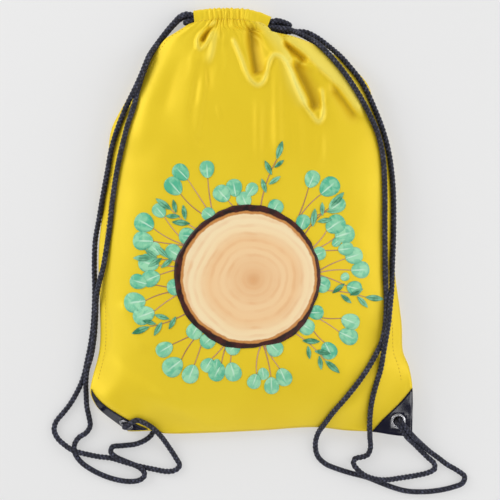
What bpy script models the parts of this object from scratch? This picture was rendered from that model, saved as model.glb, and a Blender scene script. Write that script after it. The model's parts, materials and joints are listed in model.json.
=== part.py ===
"""Drawstring backpack, lying on its back with its mouth drawn shut.

Frame: metres, +Z up. The bag lies on its back on z = 0, +X to its right, +Y towards the mouth, and the
origin is under the middle of the bag without its cords. Sizes below are in millimetres and MM turns
them into metres.

The bag is two panels sewn together at the sides and the bottom. Both start from one middle sheet that
runs through the seams: the front panel puffs up from it and the back panel sinks from it to the floor.
Two cords run through the sleeves at the mouth and end behind the eyelets in the bottom corners.
"""

import math

import bmesh
import bpy
from mathutils import Matrix, Vector
from mathutils.bvhtree import BVHTree

MM = 0.001

# ---------------------------------------------------------------- driving dimensions, in millimetres
FABRIC = 1.0             # panel and sleeve wall
PATCH = 0.8              # corner triangle
GAP = 0.3                # room between pieces that touch
SEAM_STEP = (FABRIC + GAP) / 2   # from the middle sheet to the middle of a panel, at a seam

SEAM_HEIGHT = 8.0        # the side and bottom seams over the floor
MOUTH_RISE = 3.8         # how much higher the seams end, at the mouth
MOUTH_STEP = 6.8         # from the middle sheet to a panel at the mouth, where the bag is open
PUFF = 31.0              # how far the front panel rises over its seams
PUFF_REACH = 28.0        # how far from a seam most of that rise takes
SINK_REACH = 45.0        # how far from a seam the back panel takes to lie flat

LEFT_CORNER_HEIGHT = 4.0     # the left corner is bent down
LEFT_FOLD_LIFT = 20.0        # and the fold behind it stands this much higher
LEFT_FOLD_HALF_LENGTH = 30.0
RIGHT_CORNER_HEIGHT = 13.6   # the right corner lies flat on the knot under it

CASING_DEPTH = 14.4      # sleeve, across the bag's height
CASING_THICKNESS = 8.0
CASING_LENGTHWISE = 12   # stations along a sleeve
CASING_POINTS = 16       # around it
BACK_CASING_HEIGHT = SEAM_HEIGHT + MOUTH_RISE - MOUTH_STEP     # of the sleeve's middle
FRONT_CASING_HEIGHT = SEAM_HEIGHT + MOUTH_RISE + MOUTH_STEP

CORD = 5.0
CORD_IN_CASING = 2.75    # a cord's middle from the sleeve's middle
CORD_IN_EYELET = 2.15    # a strand's middle from the eyelet's axis, where two pass
CORD_SQUEEZE = 0.8       # strands are squeezed to this where two pass one eyelet
CROSSING = 5.8           # a strand that crosses another lies this much higher

EYELET_FLANGE = 7.4      # radii
EYELET_BARREL = 5.0
EYELET_BORE = 4.5
EYELET_HOLE = 5.3
EYELET_LIP = 6.3
METAL = 0.9              # flange and washer thickness
STACK = 2 * FABRIC + 2 * PATCH + 3 * GAP     # the four layers an eyelet holds

KNOT = (12.5, 11.0, 8.4)     # width, length and height of a knot
THREAD = 0.5

# Outline of the bag seen from above: how far along the edge, x, y.
LEFT_EDGE = [
    (0.00, -122.0, -206.0), (0.045, -146.5, -187.0), (0.075, -154.5, -176.5), (0.11, -158.4, -163.5),
    (0.20, -150.0, -123.6), (0.30, -149.8, -81.0), (0.42, -151.0, -30.0), (0.53, -146.6, 17.0),
    (0.65, -141.6, 68.0), (0.72, -138.0, 93.5), (0.79, -124.5, 119.5), (0.86, -107.5, 148.0),
    (0.93, -87.0, 179.0), (0.965, -73.0, 188.0),
]
RIGHT_EDGE = [
    (0.00, 158.0, -208.9), (0.11, 158.3, -162.5), (0.165, 155.0, -142.0), (0.20, 149.3, -126.6),
    (0.26, 148.0, -99.0), (0.36, 141.8, -53.0), (0.43, 140.0, -26.7), (0.56, 140.5, 26.3),
    (0.66, 135.6, 71.3), (0.75, 121.0, 115.0), (0.82, 113.0, 139.0), (0.89, 86.6, 162.5),
    (0.955, 49.5, 180.0), (0.985, 25.0, 182.0),
]
BOTTOM_EDGE = [
    (0.00, -122.0, -206.0), (0.086, -100.0, -204.4), (0.14, -85.0, -207.8), (0.285, -43.0, -207.2),
    (0.475, 10.0, -204.8), (0.655, 61.0, -201.6), (0.76, 92.0, -204.4), (0.86, 118.6, -205.6),
    (0.955, 146.0, -209.6), (1.00, 158.0, -208.9),
]
CASING_LINE = [
    (0.0, -56.5, 201.3), (0.22, -41.0, 202.8), (0.45, -24.0, 203.2), (0.68, -7.0, 202.4),
    (0.85, 6.0, 199.8), (1.0, 17.0, 195.6),
]

PATCH_CELLS = 4                      # grid cells along each leg of a corner triangle
LEFT_PATCH_SHARE = 0.086             # of the bottom edge
RIGHT_PATCH_SHARE = 0.14
PATCH_RISE = 0.11                    # of the side edges
COLUMNS = 12                         # grid cells between the corner triangles
ROWS = 19                            # grid cells above them


def smooth_step(value):
    value = min(max(value, 0.0), 1.0)
    return value * value * (3.0 - 2.0 * value)


def through(points, share):
    """A point on the smooth curve through (share, x, y) points."""
    last = len(points) - 2
    index = next((i for i in range(last) if share <= points[i + 1][0]), last)
    start, end = points[index], points[index + 1]
    before = points[max(index - 1, 0)]
    after = points[min(index + 2, last + 1)]
    span = end[0] - start[0]
    u = (share - start[0]) / span
    p0, p1 = Vector(start[1:]), Vector(end[1:])
    slope0 = (p1 - Vector(before[1:])) / (end[0] - before[0])
    slope1 = (Vector(after[1:]) - p0) / (after[0] - start[0])
    return ((2 * u**3 - 3 * u**2 + 1) * p0 + (u**3 - 2 * u**2 + u) * span * slope0
            + (3 * u**2 - 2 * u**3) * p1 + (u**3 - u**2) * span * slope1)


def casing_frame(share):
    """Middle of the sleeves and the direction across them, towards the mouth's rim."""
    step = 0.02
    along = (through(CASING_LINE, share + step) - through(CASING_LINE, share - step)).normalized()
    return through(CASING_LINE, share), Vector((-along.y, along.x))


def top_edge(share):
    middle, across = casing_frame(share)
    return middle - across * (CASING_DEPTH / 2 + 5 * GAP)


LEFT_EDGE.append((1.0, *top_edge(0.0)))
RIGHT_EDGE.append((1.0, *top_edge(1.0)))


def plan(s, t):
    """Where the sheet lies, seen from above: the patch between its four edge curves."""
    left, right = through(LEFT_EDGE, t), through(RIGHT_EDGE, t)
    bottom, top = through(BOTTOM_EDGE, s), top_edge(s)
    corners = ((1 - s) * (1 - t) * through(BOTTOM_EDGE, 0.0) + s * (1 - t) * through(BOTTOM_EDGE, 1.0)
               + (1 - s) * t * top_edge(0.0) + s * t * top_edge(1.0))
    return (1 - s) * left + s * right + (1 - t) * bottom + t * top - corners


class FoldLine:
    """The long side of a corner triangle: how far inward of it a place is, and how far along it."""

    def __init__(self, side_end, bottom_end, corner):
        self.middle = (side_end + bottom_end) / 2
        self.along = (bottom_end - side_end).normalized()
        self.inward = Vector((-self.along.y, self.along.x))
        if self.inward.dot(corner - self.middle) > 0:
            self.inward = -self.inward
        self.depth = -self.inward.dot(corner - self.middle)

    def measure(self, place):
        offset = place - self.middle
        return self.inward.dot(offset), self.along.dot(offset)


LEFT_FOLD = FoldLine(through(LEFT_EDGE, PATCH_RISE), through(BOTTOM_EDGE, LEFT_PATCH_SHARE),
                     through(BOTTOM_EDGE, 0.0))
RIGHT_FOLD = FoldLine(through(RIGHT_EDGE, PATCH_RISE), through(BOTTOM_EDGE, 1 - RIGHT_PATCH_SHARE),
                      through(BOTTOM_EDGE, 1.0))


def middle_sheet(s, t):
    """The sheet that runs through every seam, in millimetres."""
    place = plan(s, t)
    height = SEAM_HEIGHT + MOUTH_RISE * smooth_step((t - 0.7) / 0.3)
    from_left = (place - through(BOTTOM_EDGE, 0.0)).length
    from_right = (place - through(BOTTOM_EDGE, 1.0)).length
    height += (LEFT_CORNER_HEIGHT - SEAM_HEIGHT) * (1 - smooth_step(from_left / 50.0))
    height += (RIGHT_CORNER_HEIGHT - SEAM_HEIGHT) * (1 - smooth_step((from_right - 42.0) / 45.0))
    inward, along = LEFT_FOLD.measure(place)
    below = (-inward + math.hypot(inward, 2.0)) / 2       # 0 inside the fold, the distance outside it
    ridge = max(1.0 - below / LEFT_FOLD.depth, 0.0) / (1.0 + (along / LEFT_FOLD_HALF_LENGTH) ** 4)
    height += LEFT_FOLD_LIFT * ridge * (1 - smooth_step(inward / SINK_REACH))
    return Vector((place.x, place.y, height))


def sheet_normal(s, t):
    step = 0.004
    across = middle_sheet(min(s + step, 1), t) - middle_sheet(max(s - step, 0), t)
    upward = middle_sheet(s, min(t + step, 1)) - middle_sheet(s, max(t - step, 0))
    return across.cross(upward).normalized()


def seam_distances(s, t):
    """Distances to the nearer side seam and to the bottom seam."""
    width = (through(RIGHT_EDGE, t) - through(LEFT_EDGE, t)).length
    height = (top_edge(s) - through(BOTTOM_EDGE, s)).length
    return min(s, 1 - s) * width, t * height


def opening_step(t):
    return SEAM_STEP + (MOUTH_STEP - SEAM_STEP) * smooth_step((t - 0.9) / 0.1)


def fold_distances(place):
    return LEFT_FOLD.measure(place.xy)[0], RIGHT_FOLD.measure(place.xy)[0]


def step_out(s, t):
    """From the middle sheet to a panel: square to the sheet, and straight up at the mouth."""
    upright = smooth_step((t - 0.8) / 0.1)
    direction = sheet_normal(s, t).lerp(Vector((0, 0, 1)), upright).normalized()
    return direction * opening_step(t)


def front_point(s, t):
    place = middle_sheet(s, t)
    side, bottom = seam_distances(s, t)
    left, right = fold_distances(place)
    rise = PUFF * (1 - t**4) ** 0.8
    rise *= (1 - math.exp(-side / PUFF_REACH)) * (1 - math.exp(-bottom / PUFF_REACH))
    rise *= smooth_step((left + 2.0) / 40.0) * smooth_step((right + 2.0) / 40.0)
    return place + step_out(s, t) + Vector((0, 0, rise))


def back_point(s, t):
    place = middle_sheet(s, t)
    side, bottom = seam_distances(s, t)
    left, right = fold_distances(place)
    sink = smooth_step(side / SINK_REACH) * smooth_step(bottom / SINK_REACH)
    sink *= smooth_step(left / SINK_REACH) * smooth_step(right / SINK_REACH)
    sink *= 1 - smooth_step((t - 0.92) / 0.08)
    point = place - step_out(s, t)
    point.z += (FABRIC / 2 - point.z) * sink
    return point


def shares(first, last, between):
    """Grid lines: even cells in each corner triangle, even cells between them."""
    lines = [first * i / PATCH_CELLS for i in range(PATCH_CELLS)]
    lines += [first + (1 - last - first) * i / between for i in range(between + 1)]
    if last:
        lines += [1 - last + last * i / PATCH_CELLS for i in range(1, PATCH_CELLS + 1)]
    return lines


COLUMN_LINES = shares(LEFT_PATCH_SHARE, RIGHT_PATCH_SHARE, COLUMNS)
ROW_LINES = shares(PATCH_RISE, 0.0, ROWS)


# ---------------------------------------------------------------- materials and objects
def material(name, colour, roughness, metallic=0.0):
    made = bpy.data.materials.new(name)
    made.use_nodes = True
    shader = made.node_tree.nodes["Principled BSDF"]
    shader.inputs["Base Color"].default_value = (*colour, 1.0)
    shader.inputs["Roughness"].default_value = roughness
    shader.inputs["Metallic"].default_value = metallic
    return made


def new_object(name, data, finish):
    made = bpy.data.objects.new(name, data)
    data.materials.append(finish)
    bpy.context.scene.collection.objects.link(made)
    return made


def mesh_object(name, bm, finish, smooth=True):
    bmesh.ops.recalc_face_normals(bm, faces=bm.faces)
    mesh = bpy.data.meshes.new(name)
    bm.to_mesh(mesh)
    bm.free()
    if smooth:
        mesh.shade_smooth()
    return new_object(name, mesh, finish)


def thicken(made, thickness):
    wall = made.modifiers.new("wall", "SOLIDIFY")
    wall.thickness = thickness * MM
    wall.offset = 0.0


def pierce(made, cutter):
    hole = made.modifiers.new("eyelet hole", "BOOLEAN")
    hole.operation = "DIFFERENCE"
    hole.solver = "EXACT"
    hole.object = cutter


# ---------------------------------------------------------------- panels
def sheet_grid(point):
    """A grid moved onto point(s, t), with every cell split parallel to the nearer corner's fold."""
    bm = bmesh.new()
    columns, rows = len(COLUMN_LINES) - 1, len(ROW_LINES) - 1
    bmesh.ops.create_grid(bm, x_segments=columns, y_segments=rows, size=0.5)
    column = bm.verts.layers.int.new("column")
    row = bm.verts.layers.int.new("row")
    for vert in bm.verts:
        vert[column] = round((vert.co.x + 0.5) * columns)
        vert[row] = round((vert.co.y + 0.5) * rows)
        vert.co = point(COLUMN_LINES[vert[column]], ROW_LINES[vert[row]]) * MM
    for face in list(bm.faces):
        corners = sorted(face.verts, key=lambda v: (v[row], v[column]))
        low_left, low_right, high_left, high_right = corners
        rising = low_right[column] > columns // 2
        pair = (low_left, high_right) if rising else (low_right, high_left)
        bmesh.utils.face_split(face, *pair)
    bm.normal_update()
    return bm, column, row


def walled(name, bm, thickness, finish):
    """An open sheet as an object with a wall of even thickness."""
    mesh = bpy.data.meshes.new(name)
    bm.to_mesh(mesh)
    bm.free()
    mesh.shade_smooth()
    made = new_object(name, mesh, finish)
    thicken(made, thickness)
    return made


def panel(name, point, finish):
    return walled(name, sheet_grid(point)[0], FABRIC, finish)


def corner_patch(name, point, outward, right, finish):
    """A corner triangle: the panel's own faces there, moved out along their normals."""
    bm, column, row = sheet_grid(point)
    last = len(COLUMN_LINES) - 1

    def steps(vert):
        return (last - vert[column] if right else vert[column]) + vert[row]

    outside = [v for v in bm.verts if steps(v) > PATCH_CELLS]
    for vert in bm.verts:
        vert.co += vert.normal * outward * (FABRIC / 2 + GAP + PATCH / 2) * MM
    bmesh.ops.delete(bm, geom=outside, context="VERTS")
    return walled(name, bm, PATCH, finish)


# ---------------------------------------------------------------- sleeves
def casing(name, height, finish):
    """A flattened tube along the casing line: a grid wrapped round it, then given its wall."""
    bm = bmesh.new()
    bmesh.ops.create_grid(bm, x_segments=CASING_POINTS, y_segments=CASING_LENGTHWISE, size=0.5)
    full = 2.0 / 3.0          # a superellipse, fuller than an ellipse
    for vert in bm.verts:
        angle = -math.tau * round((vert.co.x + 0.5) * CASING_POINTS) / CASING_POINTS
        middle, across = casing_frame(round((vert.co.y + 0.5) * CASING_LENGTHWISE) / CASING_LENGTHWISE)
        wide = math.copysign(abs(math.cos(angle)) ** full, math.cos(angle)) * CASING_DEPTH / 2
        high = math.copysign(abs(math.sin(angle)) ** full, math.sin(angle)) * CASING_THICKNESS / 2
        place = middle + across * wide
        vert.co = Vector((place.x, place.y, height + high)) * MM
    bmesh.ops.remove_doubles(bm, verts=bm.verts, dist=0.00001)
    made = mesh_object(name, bm, finish)
    thicken(made, FABRIC)
    made.modifiers["wall"].offset = -1.0
    return made


# ---------------------------------------------------------------- eyelets, knots
def turned(name, profile, finish, segments=24):
    """A closed profile of (radius, height) points, turned about its axis."""
    bm = bmesh.new()
    verts = [bm.verts.new(Vector((radius, 0, height)) * MM) for radius, height in profile]
    edges = [bm.edges.new(pair) for pair in zip(verts, verts[1:] + verts[:1])]
    bmesh.ops.spin(bm, geom=verts + edges, cent=(0, 0, 0), axis=(0, 0, 1), angle=math.tau,
                   steps=segments, use_merge=True)
    bmesh.ops.remove_doubles(bm, verts=bm.verts, dist=0.00001)
    return mesh_object(name, bm, finish)


def eyelet_frame(s, t):
    """Matrix at the middle of the corner's layers, +Z out of the front."""
    across = middle_sheet(s + 0.02, t) - middle_sheet(s - 0.02, t)
    upward = middle_sheet(s, t + 0.02) - middle_sheet(s, t - 0.02)
    normal = across.cross(upward).normalized()
    turn = normal.to_track_quat("Z", "Y").to_matrix().to_4x4()
    return Matrix.Translation(middle_sheet(s, t) * MM) @ turn


def eyelet(side, frame, slack, finish):
    """Flange and barrel in one, and the washer. The slack is the room that bent layers need."""
    front = STACK / 2 + GAP
    back = -STACK / 2 - GAP - slack
    lip = back - METAL - GAP
    barrel = [
        (EYELET_BORE, front + METAL - 0.4), (EYELET_BORE + 0.5, front + METAL),
        (EYELET_FLANGE - 0.6, front + METAL), (EYELET_FLANGE, front + METAL / 2),
        (EYELET_FLANGE, front), (EYELET_BARREL, front), (EYELET_BARREL, lip),
        (EYELET_LIP, lip), (EYELET_LIP, lip - 0.4), (EYELET_LIP - 0.3, lip - 0.7),
        (EYELET_BORE + 0.3, lip - 0.7), (EYELET_BORE, lip - 0.4),
    ]
    washer = [
        (EYELET_HOLE, back), (EYELET_FLANGE, back), (EYELET_FLANGE, back - METAL / 2),
        (EYELET_FLANGE - 0.5, back - METAL), (EYELET_HOLE, back - METAL),
    ]
    for name, profile in ((f"{side}_eyelet", barrel), (f"{side}_eyelet_washer", washer)):
        turned(name, profile, finish).matrix_world = frame


def hole_cutter(side, frame):
    bm = bmesh.new()
    bmesh.ops.create_cone(bm, cap_ends=True, segments=24, radius1=EYELET_HOLE * MM,
                          radius2=EYELET_HOLE * MM, depth=9.0 * MM)
    mesh = bpy.data.meshes.new(f"{side}_hole")
    bm.to_mesh(mesh)
    bm.free()
    cutter = bpy.data.objects.new(f"{side}_hole", mesh)
    bpy.context.scene.collection.objects.link(cutter)
    cutter.matrix_world = frame
    cutter.hide_render = True
    cutter.display_type = "WIRE"
    return cutter


KNOT_DROP = STACK / 2 + METAL + 3 * GAP + 0.7 + KNOT[2] / 2     # from the eyelet's middle


def knot(name, frame, slack, finish):
    bm = bmesh.new()
    bmesh.ops.create_uvsphere(bm, u_segments=20, v_segments=12, radius=0.5)
    bmesh.ops.scale(bm, vec=Vector(KNOT) * MM, verts=bm.verts)
    for vert in bm.verts:
        turn = math.atan2(vert.co.y, vert.co.x)
        vert.co.xy *= 1.0 - 0.07 * math.cos(3 * turn + vert.co.z * 300.0)     # the strands' bulges
    made = mesh_object(name, bm, finish)
    made.matrix_world = frame @ Matrix.Translation((0, 0, -(KNOT_DROP + slack) * MM))


# ---------------------------------------------------------------- cords
LYING, HELD, UNDER = "lying", "held", "under"
CLEARANCE = 1.2          # from a lying cord to what it lies on, past the threads


class Ground:
    """What lies under a cord: the floor and the solids made so far."""

    def __init__(self, names):
        bpy.context.view_layer.update()
        graph = bpy.context.evaluated_depsgraph_get()
        self.trees = []
        for name in names:
            made = bpy.data.objects[name]
            bm = bmesh.new()
            bm.from_mesh(made.evaluated_get(graph).to_mesh())
            bm.transform(made.matrix_world)
            self.trees.append(BVHTree.FromBMesh(bm))
            bm.free()

    def height(self, x, y):
        """The lowest height of a cord's middle over a place, in millimetres."""
        reach = CORD / 2
        best = reach + 0.1
        for ring_share, count in ((0.0, 1), (0.5, 6), (0.8, 12), (1.1, 16)):
            for i in range(count):
                angle = math.tau * i / count
                off = reach * ring_share
                start = Vector((x + off * math.cos(angle), y + off * math.sin(angle), 90.0)) * MM
                clear = math.sqrt(max(reach**2 - off**2, 0.0))
                for tree in self.trees:
                    hit = tree.ray_cast(start, Vector((0, 0, -1)))[0]
                    if hit:
                        best = max(best, hit.z / MM + clear + CLEARANCE)
        return best


def lying(ground, *points):
    """Points (x, y) or (x, y, lift) that rest on what is under them."""
    return [Vector((p[0], p[1], ground.height(p[0], p[1]) + (p[2] if len(p) > 2 else 0.0)))
            for p in points]


def smooth_curve(points, spacing=3.0):
    """Points every few millimetres on the smooth curve through a route, and each one's place on it."""
    padded = [2 * points[0] - points[1]] + points + [2 * points[-1] - points[-2]]
    curve, owner = [], []
    for index, (p0, p1, p2, p3) in enumerate(zip(padded, padded[1:], padded[2:], padded[3:])):
        k0, k1, k2 = (max((b - a).length, 0.01) ** 0.5 for a, b in ((p0, p1), (p1, p2), (p2, p3)))
        slope1 = ((p1 - p0) / k0 - (p2 - p0) / (k0 + k1) + (p2 - p1) / k1) * k1
        slope2 = ((p2 - p1) / k1 - (p3 - p1) / (k1 + k2) + (p3 - p2) / k2) * k1
        steps = max(int((p2 - p1).length / spacing), 1)
        for i in range(steps):
            u = i / steps
            curve.append((2 * u**3 - 3 * u**2 + 1) * p1 + (u**3 - 2 * u**2 + u) * slope1
                         + (3 * u**2 - 2 * u**3) * p2 + (u**3 - u**2) * slope2)
            owner.append(index + u)
    return curve + [points[-1].copy()], owner + [len(points) - 1]


def settle(curve, floor, passes=30):
    """Rounds a route up and down, and keeps it clear of what is under it. Held points stay."""
    for _ in range(passes):
        heights = [p.z for p in curve]
        for i in range(1, len(curve) - 1):
            if floor[i] is not None:
                mean = (heights[i - 1] + 2 * heights[i] + heights[i + 1]) / 4
                curve[i].z = max(mean, floor[i])


def thin_out(curve, floor, straight=25.0, bent=7.0, held=6.0):
    """Keeps fewer points where the curve runs straight, then lifts them until every chord is clear."""
    kept, run = [0], 0.0
    for i in range(1, len(curve) - 1):
        before, here, after = curve[i - 1], curve[i], curve[i + 1]
        run += (here - before).length
        turn = (here - before).angle(after - here, 0.0) / max((after - before).length / 2, 0.1)
        if run >= (held if floor[i] is None else max(bent, straight - turn * 500.0)):
            kept.append(i)
            run = 0.0
    kept.append(len(curve) - 1)
    for first, last in list(zip(kept, kept[1:])) * 2:
        for i in range(first + 1, last):
            if floor[i] is None:
                continue
            chord = curve[first].lerp(curve[last], (i - first) / (last - first))
            lack = floor[i] - 0.1 - chord.z
            if lack > 0:
                for end in (first, last):
                    if floor[end] is not None:
                        curve[end].z += lack
    return [curve[i] for i in kept]


def cord(name, stretches, ground, finish, squeezed_at=None):
    """Stretches are (points, how) pairs, end to end. A lying stretch settles on the ground."""
    route = [point for points, _ in stretches for point in points]
    lies = [how for points, how in stretches for _ in points]
    curve, owner = smooth_curve(route)
    ends = [set(lies[int(u):int(u) + 2]) for u in owner]
    floor = [ground.height(p.x, p.y) if LYING in pair and UNDER not in pair else None
             for p, pair in zip(curve, ends)]
    above = [point.z - ground.height(point.x, point.y) for point in route]
    above = [max(lift, 0.0) if how == LYING else 0.0 for lift, how in zip(above, lies)] + [0.0]
    floor = [None if low is None else low + above[int(u)] * (1 - u % 1) + above[int(u) + 1] * (u % 1)
             for low, u in zip(floor, owner)]
    settle(curve, floor)
    points = thin_out(curve, floor)
    data = bpy.data.curves.new(name, "CURVE")
    data.dimensions = "3D"
    data.bevel_depth = CORD / 2 * MM
    data.bevel_resolution = 2
    data.use_fill_caps = True
    spline = data.splines.new("POLY")
    spline.points.add(len(points) - 1)
    for target, place in zip(spline.points, points):
        target.co = (*(place * MM), 1.0)
        target.radius = 1.0
        if squeezed_at is not None:
            away = (place - squeezed_at).length
            target.radius = CORD_SQUEEZE + (1 - CORD_SQUEEZE) * smooth_step((away - 8.5) / 6.0)
    length = sum((b - a).length for a, b in zip(points, points[1:]))
    print(f"{name}: {length:.0f} mm, {len(points)} points")
    return new_object(name, data, finish)


def in_casing(height, across_share, towards_right):
    """A cord's run through a sleeve."""
    shares_along = [-0.02, 0.03, 0.12, 0.28, 0.44, 0.6, 0.76, 0.88, 0.97, 1.02]
    run = []
    for share in (shares_along if towards_right else reversed(shares_along)):
        middle, across = casing_frame(share)
        place = middle + across * across_share
        run.append(Vector((place.x, place.y, height)))
    return run


def out_of_eyelet(frame, aside, *heights):
    """Points on a line beside the eyelet's axis, at heights over the middle of its layers."""
    matrix = frame.to_3x3()
    centre = frame.translation / MM
    return [centre + matrix @ Vector((0, 0, height)) + aside for height in heights]


def near_eyelet(frame, *places):
    """Points given in millimetres from the eyelet's middle, along its own axes."""
    return [(frame @ (Vector(place) * MM)) / MM for place in places]


# ---------------------------------------------------------------- thread
def thread(name, points, finish):
    data = bpy.data.curves.new(name, "CURVE")
    data.dimensions = "3D"
    data.bevel_depth = THREAD / 2 * MM
    data.bevel_resolution = 0
    data.use_fill_caps = True
    spline = data.splines.new("POLY")
    spline.points.add(len(points) - 1)
    for target, place in zip(spline.points, points):
        target.co = (*(place * MM), 1.0)
    return new_object(name, data, finish)


def on_front(s, t):
    """A thread's middle on the outside of the front panel."""
    step = 0.01
    across = front_point(min(s + step, 1), t) - front_point(max(s - step, 0), t)
    upward = front_point(s, min(t + step, 1)) - front_point(s, max(t - step, 0))
    normal = across.cross(upward).normalized()
    return front_point(s, t) + normal * (FABRIC / 2 + GAP + THREAD / 2 + 0.05)


def side_stitching(name, column, finish):
    rows = [line for line in ROW_LINES if PATCH_RISE < line < 0.97]
    thread(name, [on_front(COLUMN_LINES[column], t) for t in rows], finish)


def casing_stitching(name, height, finish):
    points = []
    for i in range(CASING_LENGTHWISE + 1):
        middle, across = casing_frame(i / CASING_LENGTHWISE)
        place = middle - across * (CASING_DEPTH / 2 - 4.2)
        points.append(Vector((place.x, place.y, height)))
    thread(name, points, finish)


# ---------------------------------------------------------------- the bag
for old in list(bpy.data.objects):
    bpy.data.objects.remove(old)

yellow = material("yellow_satin", (0.82, 0.62, 0.03), 0.45)
black_sheet = material("black_sheet", (0.006, 0.006, 0.022), 0.22)
navy_cord = material("navy_cord", (0.018, 0.020, 0.045), 0.75)
silver = material("silver", (0.75, 0.76, 0.78), 0.25, 1.0)
yellow_thread = material("yellow_thread", (0.70, 0.50, 0.03), 0.6)

front_panel = panel("front_panel", front_point, yellow)
back_panel = panel("back_panel", back_point, yellow)
casing("front_casing", FRONT_CASING_HEIGHT, yellow)
casing("back_casing", BACK_CASING_HEIGHT, yellow)

EYELET_PLACES = {
    "left": (LEFT_PATCH_SHARE * 0.48, PATCH_RISE * 0.18, 1.2),
    "right": (1 - RIGHT_PATCH_SHARE * 0.35, PATCH_RISE * 0.31, 0.0),
}
eyelet_frames = {}
for side, (s, t, slack) in EYELET_PLACES.items():
    frame = eyelet_frame(s, t)
    eyelet_frames[side] = frame
    cutter = hole_cutter(side, frame)
    on_right = side == "right"
    layers = [
        front_panel, back_panel,
        corner_patch(f"{side}_corner_patch_front", front_point, 1.0, on_right, black_sheet),
        corner_patch(f"{side}_corner_patch_back", back_point, -1.0, on_right, black_sheet),
    ]
    for layer in layers:
        pierce(layer, cutter)
    eyelet(side, frame, slack, silver)
    knot(f"{side}_cord_knot", frame, slack, navy_cord)

side_stitching("left_side_stitching", 1, yellow_thread)
side_stitching("right_side_stitching", len(COLUMN_LINES) - 2, yellow_thread)
casing_stitching("front_casing_stitching",
                 FRONT_CASING_HEIGHT + CASING_THICKNESS / 2 + GAP + THREAD / 2, yellow_thread)
casing_stitching("back_casing_stitching",
                 BACK_CASING_HEIGHT - CASING_THICKNESS / 2 - GAP - THREAD / 2, yellow_thread)

# ---------------------------------------------------------------- the cords' routes
# A route's points are x and y, and a third number lifts a strand that crosses another.
ground = Ground(["front_panel", "back_panel", "front_casing", "back_casing",
                 "left_corner_patch_front", "right_corner_patch_front", "left_eyelet", "right_eyelet",
                 "left_side_stitching", "right_side_stitching"])
LEFT = eyelet_frames["left"]
RIGHT = eyelet_frames["right"]
BELOW = -(STACK / 2 + METAL + 2 * GAP + 0.7)       # level with the eyelet's lip

left_out = near_eyelet(LEFT, (0, 0, BELOW - 1.2), (0, 0, 0), (0, 0, 5.2), (0.6, 4.6, 7.5),
                       (2.5, 10.0, 7.0))
left_outer = lying(
    ground, (-112.5, -192.9), (-105.0, -195.8), (-97.0, -201.7), (-90.4, -209.4), (-82.5, -221.7),
    (-74.7, -234.4), (-71.6, -241.0), (-76.2, -245.8), (-84.1, -247.0), (-98.1, -244.6),
    (-113.8, -241.3), (-127.8, -237.2), (-140.3, -233.6), (-152.0, -232.2), (-163.8, -229.5),
    (-175.8, -225.6, CROSSING), (-184.0, -221.2, 2.0), (-192.7, -213.8), (-196.4, -205.4),
    (-194.2, -197.0), (-188.7, -190.3), (-180.9, -180.5), (-173.2, -167.3), (-167.5, -154.0),
    (-163.4, -136.4), (-160.2, -120.7), (-157.9, -105.0), (-156.5, -85.0), (-156.0, -65.0),
    (-156.4, -42.3), (-155.4, -18.0), (-150.6, 6.0), (-146.6, 27.7), (-142.2, 50.0),
    (-137.6, 74.0), (-130.9, 94.5), (-124.0, 111.5), (-119.6, 120.5, 3.0))
left_outer += lying(ground, (-114.8, 129.5, CROSSING), (-108.6, 143.4, CROSSING),
                    (-98.9, 167.4, CROSSING), (-88.0, 184.2, CROSSING + 0.5))
left_front_in = [Vector((-77.0, 197.2, 11.5)), Vector((-70.0, 203.0, 16.2)), Vector((-63.5, 204.9, 18.2))]
left_bight = [Vector((25.0, 198.5, FRONT_CASING_HEIGHT - 0.5)), Vector((34.0, 196.5, 15.4)),
              Vector((37.6, 195.2, 11.0)), Vector((34.0, 196.5, 6.2)),
              Vector((25.0, 198.5, BACK_CASING_HEIGHT))]
left_back_out = [Vector((-63.5, 204.9, 4.8)), Vector((-70.0, 203.0, 4.2)), Vector((-77.0, 197.2, 3.4))]
left_inner = lying(
    ground, (-88.0, 184.2), (-98.9, 167.4), (-108.0, 143.0), (-112.2, 128.2), (-115.2, 113.5),
    (-120.8, 96.4), (-125.2, 80.0), (-129.6, 62.0), (-133.6, 41.0), (-136.6, 19.0),
    (-139.0, -3.1), (-142.2, -24.0), (-145.4, -42.0))
left_inner += lying(
    ground, (-150.2, -60.0, 2.0), (-153.2, -76.0, CROSSING), (-154.4, -94.0, CROSSING),
    (-155.9, -114.0, CROSSING), (-159.0, -132.5, CROSSING), (-162.8, -145.2, CROSSING),
    (-164.4, -158.0, 3.0), (-164.4, -170.0), (-163.8, -182.5), (-161.6, -193.3),
    (-160.6, -201.7), (-164.5, -208.4), (-172.0, -213.4), (-176.3, -220.8), (-175.5, -229.2),
    (-169.4, -237.8), (-159.1, -245.2), (-146.6, -251.3), (-134.1, -255.2), (-121.5, -256.9),
    (-111.0, -255.2), (-106.3, -250.4), (-108.2, -244.9, 3.0), (-114.5, -240.2, CROSSING),
    (-123.5, -236.4, CROSSING), (-133.5, -232.0, CROSSING), (-139.6, -227.0, 2.0),
    (-138.4, -222.3), (-128.8, -221.2), (-115.3, -219.7), (-105.9, -215.8),
    (-99.2, -210.0))
left_under = [Vector((-97.5, -203.0, 2.9)), Vector((-101.5, -195.0, 4.0)), Vector((-106.0, -191.0, 6.4))]

cord("left_cord", [
    (left_out, HELD), (left_outer, LYING), (left_front_in, HELD),
    (in_casing(FRONT_CASING_HEIGHT, CORD_IN_CASING, True), HELD), (left_bight, HELD),
    (in_casing(BACK_CASING_HEIGHT, CORD_IN_CASING, False), HELD), (left_back_out, HELD),
    (left_inner, LYING), (left_under, UNDER),
], ground, navy_cord)

heading = Vector((0.6, -0.8, 0.0))
beside = Vector((0.8, 0.6, 0.0)) * CORD_IN_EYELET


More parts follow.
